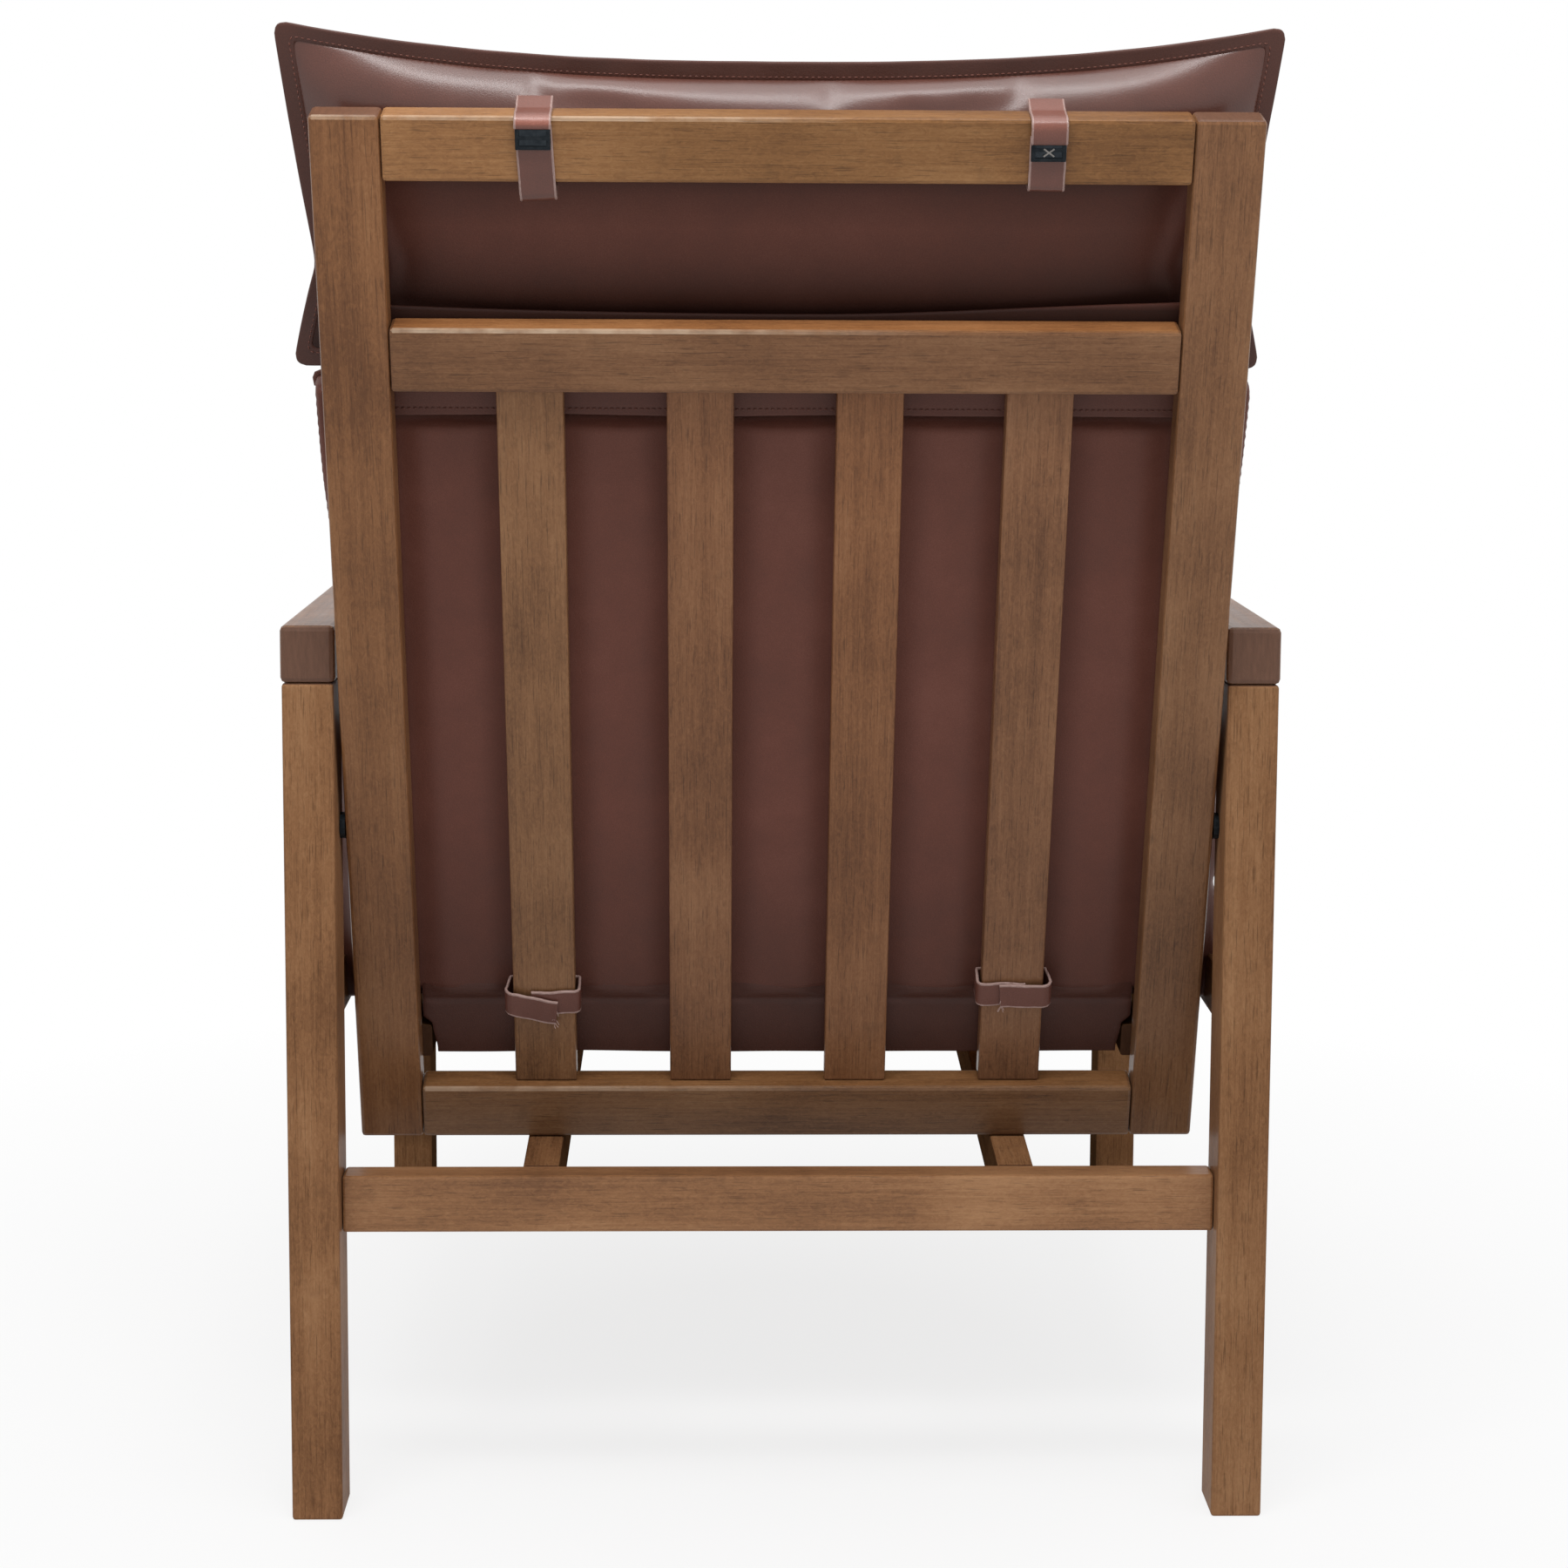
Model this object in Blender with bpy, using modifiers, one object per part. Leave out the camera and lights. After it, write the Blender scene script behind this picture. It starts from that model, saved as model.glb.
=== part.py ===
"""Lounge chair with a leaning slatted back, square legs and arms, and leather cushions.

Metres, +Z up. The chair faces -Y, the floor is z = 0, and the sitter's left is +X.
Places inside the chair are given as three ranges: across (along X), forward (from the
rear, along -Y) and up. The back frame, the seat frame and the under-seat bars each have
a leaning datum of their own, and their ranges are counted from it.
"""
import math

import bmesh
import bpy
from mathutils import Vector

# Fits
GAP = 0.0003
TENON_FIT = 0.0004
CUT_OVERRUN = 0.010

# Side frames
OVERALL_WIDTH = 0.660
ARM_WIDTH = 0.036
ARM_THICKNESS = 0.038
ARM_TOP = 0.610
ARM_FRONT_OVERHANG = 0.010
ARM_EDGE = 0.0035
ARM_OVERHANG = 0.001
LEG_WIDTH = 0.034
LEG_DEPTH = 0.042
LEG_SPREAD = 0.680
LEG_EDGE = 0.002
STRETCHER_THICKNESS = 0.022
STRETCHER_HEIGHT = 0.038
STRETCHER_BOTTOM = 0.330
STRETCHER_EDGE = 0.002
STRETCHER_TENON_THICKNESS = 0.011

# Low rails and bars
REAR_RAIL_HEIGHT = 0.039
REAR_RAIL_TOP = 0.235
REAR_RAIL_THICKNESS = 0.024
REAR_RAIL_SETBACK = 0.014
RAIL_EDGE = 0.002
RAIL_TENON_THICKNESS = 0.011
FRONT_RAIL_THICKNESS = 0.024
FRONT_RAIL_BOTTOM = 0.228
BAR_WIDTH = 0.025
BAR_HEIGHT = 0.036
BAR_INSET = 0.129
BAR_TENON_THICKNESS = 0.011
BAR_END_RUN = 0.003
TENON_SHOULDER = 0.007
TENON_DEPTH = 0.017

# Back frame
BACK_RECLINE_ANGLE = math.radians(17.36)
BACK_SETBACK = 0.0952
BACK_LENGTH = 0.729
BACK_SIDE_CLEARANCE = 0.004
BACK_THICKNESS = 0.024
STILE_WIDTH = 0.043
TOP_RAIL_HEIGHT = 0.041
HEAD_RAIL_HEIGHT = 0.042
HEAD_RAIL_DROP = 0.177
BOTTOM_RAIL_HEIGHT = 0.040
BACK_EDGE = 0.0025
BACK_TENON_THICKNESS = 0.010
BACK_TENON_DEPTH = 0.022
SLAT_COUNT = 4
SLAT_WIDTH = 0.0425
SLAT_THICKNESS = 0.015
SLAT_EDGE = 0.0015
SLAT_TENON_THICKNESS = 0.007
SLAT_TENON_DEPTH = 0.012
SLAT_SHOULDER = 0.005

# Seat frame
SEAT_TILT_ANGLE = math.radians(3.3)
SEAT_RAIL_INSET = 0.0055
SEAT_RAIL_WIDTH = 0.044
SEAT_RAIL_HEIGHT = 0.024
SEAT_RAIL_DROP = 0.0555
SEAT_RAIL_EDGE = 0.002
SEAT_RAIL_FRONT_INSET = 0.006
SEAT_SLAT_COUNT = 6
SEAT_SLAT_WIDTH = 0.046
SEAT_SLAT_THICKNESS = 0.014
SEAT_SLATS_START = 0.185
SEAT_SLATS_FRONT_INSET = 0.016
SEAT_SLAT_TENON_THICKNESS = 0.006

# Dowels, bolts and screws
ROUND_SIDES = 12
DOWEL_RADIUS = 0.006
DOWEL_LENGTH = 0.036
BOLT_HEIGHT = 0.472
BOLT_FORWARD = 0.031
BOLT_RADIUS = 0.003
BOLT_HEAD_RADIUS = 0.005
BOLT_HEAD_LENGTH = 0.005
BOLT_HEAD_DEPTH = 0.010
BOLT_END_MARGIN = 0.004
SPACER_RADIUS = 0.009
INSERT_RADIUS = 0.005
INSERT_LENGTH = 0.016
INSERT_INSET = 0.0005
SCREW_RADIUS = 0.002
SCREW_HEAD_RADIUS = 0.004
SCREW_HEAD_LENGTH = 0.003
SCREW_HEAD_DEPTH = 0.0035
SCREW_REACH = 0.030
SCREW_EDGE_DISTANCE = 0.011

# Cushions
CUSHION_REAR_GAP = 0.0006
BACK_CUSHION_BOTTOM = 0.085
BACK_CUSHION_TOP_DROP = 0.010
BACK_CUSHION_OVERHANG = 0.012
BACK_CUSHION_ARM_CLEARANCE = 0.004
BACK_CUSHION_REAR_CROWN = 0.016
BACK_CUSHION_BODY = 0.050
BACK_CUSHION_FRONT_CROWN = 0.026
BACK_CUSHION_DRAW_IN = 0.006
ARM_CLEAR_BAND = 0.060
FLAP_DROP = 0.0235
FLAP_RISE = 0.048
FLAP_CORNER_RISE = 0.006
FLAP_INSET = 0.005
HEM_BOTTOM = 0.0540
HEM_TOP = 0.0925
HEM_INSET = 0.050
LEATHER_THICKNESS = 0.0022
PILLOW_OVERHANG = 0.026
PILLOW_HEIGHT = 0.226
PILLOW_DROP = 0.0025
PILLOW_REAR_CROWN = 0.030
PILLOW_FRONT_CROWN = 0.052
PILLOW_FLANGE = 0.011
PILLOW_FLANGE_THICKNESS = 0.0045
PILLOW_SIDE_DRAW_IN = 0.015
PILLOW_TOP_DRAW_IN = 0.020
PILLOW_LEAN_ANGLE = math.radians(1.5)
SEAT_CUSHION_REAR = 0.168
SEAT_CUSHION_FRONT_OVERHANG = 0.006
SEAT_CUSHION_ARM_CLEARANCE = 0.007
SEAT_CUSHION_LOWER_CROWN = 0.012
SEAT_CUSHION_BODY = 0.060
SEAT_CUSHION_UPPER_CROWN = 0.034
SEAT_CUSHION_DRAW_IN = 0.008
SEAM_WIDTH = 0.004
SEAM_THICKNESS = 0.004

# Straps
HEAD_STRAP_INSETS = {"left": 0.1620, "right": 0.1590}
HEAD_STRAP_WIDTH = 0.0225
STRAP_THICKNESS = 0.0020
TAB_DROP = {"left": 0.0075, "right": 0.0130}
TAB_BEND = 0.0040
TAB_RISE = 0.0045
TAIL_SLACK = {"left": 0.0060, "right": 0.0}
TAIL_BEND = {"left": 0.0050, "right": 0.0030}
BUCKLE_WIDTH = 0.0215
BUCKLE_HEIGHT = 0.0150
BUCKLE_THICKNESS = 0.0022
BUCKLE_BORDER = 0.0024
BUCKLE_OVERLAP = 0.0030
BUCKLE_EDGE = 0.0005
LOOP_STRAP_WIDTH = 0.0185
LOOP_STRAP_HEIGHTS = {"left": 0.1045, "right": 0.1110}
LOOP_STAND_OFF = 0.0005
LOOP_OVERLAP = 0.030
LOOP_THICKNESS = 0.0018

# Shares of the sizes they follow
SIDE_SHARES = (1.0, -1.0)
SEAM_LEVEL_SHARE = 0.5
CUSHION_LEVEL_SHARES = (-1.0, -0.6, -0.1, 0.1, 0.6, 1.0)
PILLOW_LEVEL_SHARES = (-1.0, -0.2, 0.2, 1.0)
CROWN_POWER_SHARES = {"pillow": 4.0, "back": 6.0, "seat": 6.0}
PILLOW_SMOOTHED_SHARE = 0.885
STRAP_ON_RAIL_SHARE = 0.55
STRAP_START_SHARE = 1.08
TAIL_END_SHARE = 0.97

# Places worked out from the sizes
HALF_WIDTH = OVERALL_WIDTH / 2
ARM_INNER = HALF_WIDTH - ARM_WIDTH
LEG_OUTER = HALF_WIDTH - ARM_OVERHANG
LEG_INNER = LEG_OUTER - LEG_WIDTH
LEG_CENTRE = LEG_OUTER - LEG_WIDTH / 2
ARM_UNDERSIDE = ARM_TOP - ARM_THICKNESS
LEG_TOP = ARM_UNDERSIDE - GAP
ARM_LENGTH = LEG_SPREAD + ARM_FRONT_OVERHANG
FRONT_LEG_REAR = LEG_SPREAD - LEG_DEPTH
REAR_RAIL_FRONT = REAR_RAIL_SETBACK + REAR_RAIL_THICKNESS
FRONT_RAIL_REAR = FRONT_LEG_REAR + (LEG_DEPTH - FRONT_RAIL_THICKNESS) / 2
FRONT_RAIL_FRONT = FRONT_RAIL_REAR + FRONT_RAIL_THICKNESS
BACK_HALF = LEG_INNER - BACK_SIDE_CLEARANCE
STILE_INNER = BACK_HALF - STILE_WIDTH
SLAT_PITCH = (2 * STILE_INNER + SLAT_WIDTH) / (SLAT_COUNT + 1)
HEAD_RAIL_BOTTOM = BACK_LENGTH - HEAD_RAIL_DROP
BAR_CENTRE = BACK_HALF - BAR_INSET
BACK_FOOT_UP = REAR_RAIL_TOP + (BACK_SETBACK - REAR_RAIL_FRONT) * math.tan(SEAT_TILT_ANGLE) + GAP
SEAT_RAIL_OUTER = BACK_HALF - SEAT_RAIL_INSET
SEAT_RAIL_INNER = SEAT_RAIL_OUTER - SEAT_RAIL_WIDTH
SEAT_RAIL_FRONT = LEG_SPREAD - SEAT_RAIL_FRONT_INSET
SEAT_SLATS_END = LEG_SPREAD - SEAT_SLATS_FRONT_INSET
SEAT_DATUM_UP = BACK_FOOT_UP + SEAT_RAIL_DROP
SEAT_UNDER_FRONT_RAIL = SEAT_DATUM_UP + (FRONT_RAIL_REAR - BACK_SETBACK) * math.tan(SEAT_TILT_ANGLE)
FRONT_RAIL_TOP = SEAT_UNDER_FRONT_RAIL - GAP
BACK_CUSHION_TOP = HEAD_RAIL_BOTTOM - BACK_CUSHION_TOP_DROP
BACK_CUSHION_HALF = BACK_HALF + BACK_CUSHION_OVERHANG
BACK_CUSHION_ARM_HALF = ARM_INNER - BACK_CUSHION_ARM_CLEARANCE
FLAP_BOTTOM = HEAD_RAIL_BOTTOM - FLAP_DROP
FLAP_TOP = HEAD_RAIL_BOTTOM + FLAP_RISE
FLAP_HALF_WIDTH = BACK_HALF - FLAP_INSET
HEM_HALF_WIDTH = BACK_HALF - HEM_INSET
PILLOW_HALF = BACK_HALF + PILLOW_OVERHANG
PILLOW_BOTTOM = HEAD_RAIL_BOTTOM - PILLOW_DROP
SEAT_CUSHION_FRONT = LEG_SPREAD + SEAT_CUSHION_FRONT_OVERHANG
SEAT_CUSHION_HALF = ARM_INNER - SEAT_CUSHION_ARM_CLEARANCE
TAB_STAND_OFF = 3 * GAP + 1.5 * STRAP_THICKNESS + BUCKLE_THICKNESS
STRAP_REACH = TAB_STAND_OFF + STRAP_THICKNESS / 2
BACK_REACH = (BACK_LENGTH * math.sin(BACK_RECLINE_ANGLE) - BACK_SETBACK
              + STRAP_REACH * math.cos(BACK_RECLINE_ANGLE))
REAR_Y = (ARM_LENGTH - BACK_REACH) / 2
SIDES = tuple(zip(("left", "right"), SIDE_SHARES))

PARTS = "lounge_chair"
CUTTERS = "lounge_chair_cutters"


def clear_scene():
    for old in list(bpy.data.objects):
        bpy.data.objects.remove(old, do_unlink=True)


def collection(name):
    made = bpy.data.collections.get(name) or bpy.data.collections.new(name)
    if made.name not in bpy.context.scene.collection.children:
        bpy.context.scene.collection.children.link(made)
    return made


def principled(name, colour, roughness, metallic=0.0):
    made = bpy.data.materials.get(name) or bpy.data.materials.new(name)
    made.use_nodes = True
    shader = made.node_tree.nodes["Principled BSDF"]
    shader.inputs["Base Color"].default_value = (*colour, 1.0)
    shader.inputs["Roughness"].default_value = roughness
    shader.inputs["Metallic"].default_value = metallic
    return made


def datum(name, forward, up, lean=0.0, parent=None):
    empty = bpy.data.objects.new(name, None)
    empty.location = (0.0, -forward, up)
    empty.rotation_euler = (-lean, 0.0, 0.0)
    empty.parent = parent
    collection(PARTS).objects.link(empty)
    return empty


def add_piece(name, mesh, parent, finish):
    """Put a mesh in the parts collection, or among the cutters where it has no finish."""
    piece = bpy.data.objects.new(name, mesh)
    piece.parent = parent
    if finish is None:
        collection(CUTTERS).objects.link(piece)
        piece.hide_render = True
        piece.display_type = "WIRE"
    else:
        collection(PARTS).objects.link(piece)
        mesh.materials.append(finish)
    return piece


def mirrored(space, sign):
    """The same ranges on the other side of the chair when sign is negative."""
    across, forward, up = space
    return (tuple(sorted(sign * place for place in across)), forward, up)


def grow(space, across=0.0, forward=0.0, up=0.0):
    return tuple((low - by, high + by) for (low, high), by in zip(space, (across, forward, up)))


def box(name, space, parent, finish=None, edge=0.0):
    """A straight bar that fills three ranges, with its edges rounded."""
    (left, right), (rear, front), (bottom, top) = space
    mesh = bpy.data.meshes.new(name)
    shape = bmesh.new()
    bmesh.ops.create_cube(shape, size=1.0)
    bmesh.ops.scale(shape, vec=(right - left, front - rear, top - bottom), verts=shape.verts)
    shape.to_mesh(mesh)
    shape.free()
    piece = add_piece(name, mesh, parent, finish)
    piece.location = ((left + right) / 2, -(rear + front) / 2, (bottom + top) / 2)
    if edge:
        rounding = piece.modifiers.new("rounded_edges", "BEVEL")
        rounding.width = edge
        rounding.segments = 2
        rounding.limit_method = "ANGLE"
    return piece


def boolean(piece, cutter, operation="DIFFERENCE"):
    change = piece.modifiers.new(operation.lower() + "_" + cutter.name, "BOOLEAN")
    change.operation = operation
    change.solver = "EXACT"
    change.object = cutter


def tenon(piece, core, parent, hosts):
    """Run a thinner core through a bar so that it ends in tenons, and mortise its hosts."""
    boolean(piece, box(piece.name + "_tenon", core, parent), "UNION")
    mortise = box(piece.name + "_mortise", grow(core, TENON_FIT, TENON_FIT, TENON_FIT), parent)
    for host in hosts:
        boolean(host, mortise)


def trim(piece, space, parent, name):
    """Cut a bar's end back to the face of the piece that it butts against."""
    boolean(piece, box(name, grow(space, GAP, GAP, GAP), parent))


def turned(name, profile, parent, finish, place, side=0.0, closed=False):
    """Turn a profile of (radius, along) points: along is up, or out to one side."""
    mesh = bpy.data.meshes.new(name)
    shape = bmesh.new()
    corners = [shape.verts.new((radius, 0.0, height)) for radius, height in profile]
    for first, second in zip(corners, corners[1:]):
        shape.edges.new((first, second))
    if closed:
        shape.edges.new((corners[-1], corners[0]))
    shape.to_mesh(mesh)
    shape.free()
    piece = add_piece(name, mesh, parent, finish)
    piece.location = place
    piece.rotation_euler = (0.0, side * math.radians(90.0), 0.0)
    turn = piece.modifiers.new("turned", "SCREW")
    turn.steps = ROUND_SIDES
    turn.render_steps = ROUND_SIDES
    turn.use_merge_vertices = True
    turn.merge_threshold = 0.00001
    turn.use_smooth_shade = True
    return piece


def rod(name, place, radius, length, parent, finish=None):
    """An upright round rod round its middle."""
    mesh = bpy.data.meshes.new(name)
    shape = bmesh.new()
    bmesh.ops.create_cone(shape, cap_ends=True, segments=ROUND_SIDES,
                          radius1=radius, radius2=radius, depth=length)
    shape.to_mesh(mesh)
    shape.free()
    piece = add_piece(name, mesh, parent, finish)
    piece.location = place
    return piece


def ribbon(name, path, across_width, thickness, parent, finish):
    """A strap: an edge drawn along its path, then thickened."""
    half = Vector(across_width) / 2
    mesh = bpy.data.meshes.new(name)
    shape = bmesh.new()
    start = Vector(path[0])
    edge = shape.edges.new((shape.verts.new(start - half), shape.verts.new(start + half)))
    for here, there in zip(path, path[1:]):
        drawn = bmesh.ops.extrude_edge_only(shape, edges=[edge])["geom"]
        moved = [item for item in drawn if isinstance(item, bmesh.types.BMVert)]
        bmesh.ops.translate(shape, vec=Vector(there) - Vector(here), verts=moved)
        edge = next(item for item in drawn if isinstance(item, bmesh.types.BMEdge)
                    and set(item.verts) == set(moved))
    bmesh.ops.recalc_face_normals(shape, faces=shape.faces)
    shape.to_mesh(mesh)
    shape.free()
    piece = add_piece(name, mesh, parent, finish)
    leather = piece.modifiers.new("leather", "SOLIDIFY")
    leather.thickness = thickness
    leather.offset = 0.0
    leather.use_even_offset = True
    return piece


def arc(centre, radius, start, stop, steps=4):
    """Points on an arc in a plane, with the angles in degrees."""
    turns = [math.radians(start + (stop - start) * step / steps) for step in range(steps + 1)]
    return [(centre[0] + radius * math.cos(turn), centre[1] + radius * math.sin(turn))
            for turn in turns]


def cushion(name, columns, rows, levels, form, parent, finish):
    """A soft closed form: a sheet raised level by level, shaped by a formula and smoothed.

    form takes (across, along, level) shares, each from -1 to 1, and gives a place.
    """
    mesh = bpy.data.meshes.new(name)
    shape = bmesh.new()
    bmesh.ops.create_grid(shape, x_segments=columns, y_segments=rows, size=1.0)
    bmesh.ops.translate(shape, vec=(0.0, 0.0, levels[0]), verts=shape.verts)
    sheet = list(shape.faces)
    for index, (lower, upper) in enumerate(zip(levels, levels[1:])):
        raised = bmesh.ops.extrude_face_region(shape, geom=sheet, use_keep_orig=index == 0)
        moved = [item for item in raised["geom"] if isinstance(item, bmesh.types.BMVert)]
        bmesh.ops.translate(shape, vec=(0.0, 0.0, upper - lower), verts=moved)
        old = sheet
        sheet = [item for item in raised["geom"] if isinstance(item, bmesh.types.BMFace)]
        if index:
            bmesh.ops.delete(shape, geom=[face for face in old if face.is_valid],
                             context="FACES_ONLY")
    crease = shape.edges.layers.float.new("crease_edge")
    for edge in shape.edges:
        if all(abs(vertex.co.z) < SEAM_LEVEL_SHARE for vertex in edge.verts):
            edge[crease] = 1.0
    for vertex in shape.verts:
        vertex.co = Vector(form(*vertex.co))
    bmesh.ops.recalc_face_normals(shape, faces=shape.faces)
    for face in shape.faces:
        face.smooth = True
    shape.to_mesh(mesh)
    shape.free()
    piece = add_piece(name, mesh, parent, finish)
    smooth = piece.modifiers.new("soft_form", "SUBSURF")
    smooth.levels = 1
    smooth.render_levels = 1
    return piece


def crown(across, along, power):
    """How full a cushion is at a place: 1 in the middle and 0 at its edges."""
    return (1.0 - abs(across) ** power) * (1.0 - abs(along) ** power)


def crowned_form(half_width, half_height, rear_crown, body, front_crown, draw_in, power):
    """A boxed cushion: crowned faces, sides drawn in between the corners, and a mid seam."""
    def form(across, along, level):
        side_pull = draw_in * (1.0 - along ** 2)
        end_pull = draw_in * (1.0 - across ** 2)
        full = crown(across, along, power)
        if abs(level) == 1.0:
            width = half_width(along) - SEAM_WIDTH
            height = half_height - SEAM_WIDTH
            lift = body / 2 + (front_crown if level > 0 else rear_crown) * full
            return (across * (width - side_pull),
                    -(level * lift), along * (height - end_pull))
        at_seam = abs(level) < SEAM_LEVEL_SHARE
        reach = SEAM_WIDTH if at_seam else 0.0
        width = half_width(along) - SEAM_WIDTH + reach
        height = half_height - SEAM_WIDTH + reach
        depth = level * body / 2
        if at_seam:
            depth = math.copysign(SEAM_THICKNESS / 2, level)
        return (across * (width - side_pull), -depth, along * (height - end_pull))
    return form


def pillow_form(across, along, level):
    """A flat-bordered pillow: two crowned faces that meet in a thin border."""
    inset = 0.0 if abs(level) < SEAM_LEVEL_SHARE else PILLOW_FLANGE
    width = PILLOW_HALF - inset
    height = PILLOW_HEIGHT / 2 - inset
    width -= PILLOW_SIDE_DRAW_IN * (1.0 - along ** 2)
    height -= PILLOW_TOP_DRAW_IN * (1.0 - across ** 2) if along > 0 else 0.0
    depth = math.copysign(PILLOW_FLANGE_THICKNESS / 2, level)
    if abs(level) == 1.0:
        full = crown(across, along, CROWN_POWER_SHARES["pillow"])
        depth += level * (PILLOW_FRONT_CROWN if level > 0 else PILLOW_REAR_CROWN) * full
    return (across * width, -depth, along * height)


def side_frames(chair, wood):
    """Legs, armrests and side stretchers, with the dowels under the arms."""
    legs = {}
    arms = {}
    stretchers = {}
    for side, sign in SIDES:
        leg_across = (LEG_INNER, LEG_OUTER)
        for end, rear in (("rear", 0.0), ("front", FRONT_LEG_REAR)):
            space = mirrored((leg_across, (rear, rear + LEG_DEPTH), (0.0, LEG_TOP)), sign)
            legs[end, side] = box(f"{end}_leg_{side}", space, chair, wood, LEG_EDGE)
        space = mirrored(((ARM_INNER, HALF_WIDTH), (0.0, ARM_LENGTH), (ARM_UNDERSIDE, ARM_TOP)), sign)
        arms[side] = box(f"armrest_{side}", space, chair, wood, ARM_EDGE)
        middle = LEG_CENTRE
        half = STRETCHER_THICKNESS / 2
        span = (LEG_DEPTH + GAP, FRONT_LEG_REAR - GAP)
        top = STRETCHER_BOTTOM + STRETCHER_HEIGHT
        space = mirrored(((middle - half, middle + half), span, (STRETCHER_BOTTOM, top)), sign)
        stretchers[side] = box(f"side_stretcher_{side}", space, chair, wood, STRETCHER_EDGE)
        inset = (STRETCHER_THICKNESS - STRETCHER_TENON_THICKNESS) / 2
        core = grow(space, -inset, TENON_DEPTH, -TENON_SHOULDER)
        tenon(stretchers[side], core, chair, (legs["rear", side], legs["front", side]))

    for (end, side), leg in legs.items():
        rear = 0.0 if end == "rear" else FRONT_LEG_REAR
        sign = 1.0 if side == "left" else -1.0
        place = (sign * LEG_CENTRE, -(rear + LEG_DEPTH / 2), LEG_TOP)
        rod(f"armrest_dowel_{end}_{side}", place, DOWEL_RADIUS, DOWEL_LENGTH, chair, wood)
        hole = rod(f"armrest_dowel_hole_{end}_{side}", place, DOWEL_RADIUS + GAP,
                   DOWEL_LENGTH + 2 * GAP, chair)
        boolean(leg, hole)
        boolean(arms[side], hole)
    return legs


def low_rails(chair, bars, legs, wood):
    """The rear rail, the front rail and the two bars that run between them."""
    span = (-LEG_INNER + GAP, LEG_INNER - GAP)
    rear_space = (span, (REAR_RAIL_SETBACK, REAR_RAIL_FRONT),
                  (REAR_RAIL_TOP - REAR_RAIL_HEIGHT, REAR_RAIL_TOP))
    front_space = (span, (FRONT_RAIL_REAR, FRONT_RAIL_FRONT), (FRONT_RAIL_BOTTOM, FRONT_RAIL_TOP))
    rails = []
    for end, space in (("rear", rear_space), ("front", front_space)):
        rail = box(f"{end}_rail", space, chair, wood, RAIL_EDGE)
        inset = (REAR_RAIL_THICKNESS - RAIL_TENON_THICKNESS) / 2
        tenon(rail, grow(space, TENON_DEPTH, -inset, -TENON_SHOULDER), chair,
              (legs[end, "left"], legs[end, "right"]))
        rails.append(rail)

    reach = (FRONT_RAIL_REAR - REAR_RAIL_FRONT) / math.cos(SEAT_TILT_ANGLE)
    for side, sign in SIDES:
        space = mirrored(((BAR_CENTRE - BAR_WIDTH / 2, BAR_CENTRE + BAR_WIDTH / 2),
                          (-BAR_END_RUN, reach + BAR_END_RUN),
                          (-BAR_HEIGHT, 0.0)), sign)
        bar = box(f"under_seat_bar_{side}", space, bars, wood, RAIL_EDGE)
        trim(bar, rear_space, chair, f"rear_rail_face_{side}")
        trim(bar, front_space, chair, f"front_rail_face_{side}")
        inset = (BAR_WIDTH - BAR_TENON_THICKNESS) / 2
        depth = REAR_RAIL_THICKNESS / 2 - BAR_END_RUN
        tenon(bar, grow(space, -inset, depth, -TENON_SHOULDER), bars, rails)
    return rails


def back_frame(back, wood):
    """Two stiles, three rails and the slats, all on the leaning datum of the back."""
    depth = (0.0, BACK_THICKNESS)
    stiles = {}
    for side, sign in SIDES:
        space = mirrored(((STILE_INNER, BACK_HALF), depth, (0.0, BACK_LENGTH)), sign)
        stiles[side] = box(f"back_stile_{side}", space, back, wood, BACK_EDGE)

    span = (-STILE_INNER + GAP, STILE_INNER - GAP)
    heights = {
        "top": (BACK_LENGTH - TOP_RAIL_HEIGHT, BACK_LENGTH),
        "head": (HEAD_RAIL_BOTTOM, HEAD_RAIL_BOTTOM + HEAD_RAIL_HEIGHT),
        "bottom": (0.0, BOTTOM_RAIL_HEIGHT),
    }
    rails = {}
    inset = (BACK_THICKNESS - BACK_TENON_THICKNESS) / 2
    for name, up in heights.items():
        space = (span, depth, up)
        rails[name] = box(f"back_{name}_rail", space, back, wood, BACK_EDGE)
        core = grow(space, BACK_TENON_DEPTH, -inset, -TENON_SHOULDER)
        tenon(rails[name], core, back, stiles.values())

    slat_depth = (BACK_THICKNESS - SLAT_THICKNESS, BACK_THICKNESS)
    slat_up = (BOTTOM_RAIL_HEIGHT + GAP, HEAD_RAIL_BOTTOM - GAP)
    inset = (SLAT_THICKNESS - SLAT_TENON_THICKNESS) / 2
    for index in range(SLAT_COUNT):
        middle = ((SLAT_COUNT - 1) / 2 - index) * SLAT_PITCH
        space = ((middle - SLAT_WIDTH / 2, middle + SLAT_WIDTH / 2), slat_depth, slat_up)
        slat = box(f"back_slat_{index + 1}", space, back, wood, SLAT_EDGE)
        tenon(slat, grow(space, -SLAT_SHOULDER, -inset, SLAT_TENON_DEPTH), back,
              (rails["head"], rails["bottom"]))
    return stiles


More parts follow.
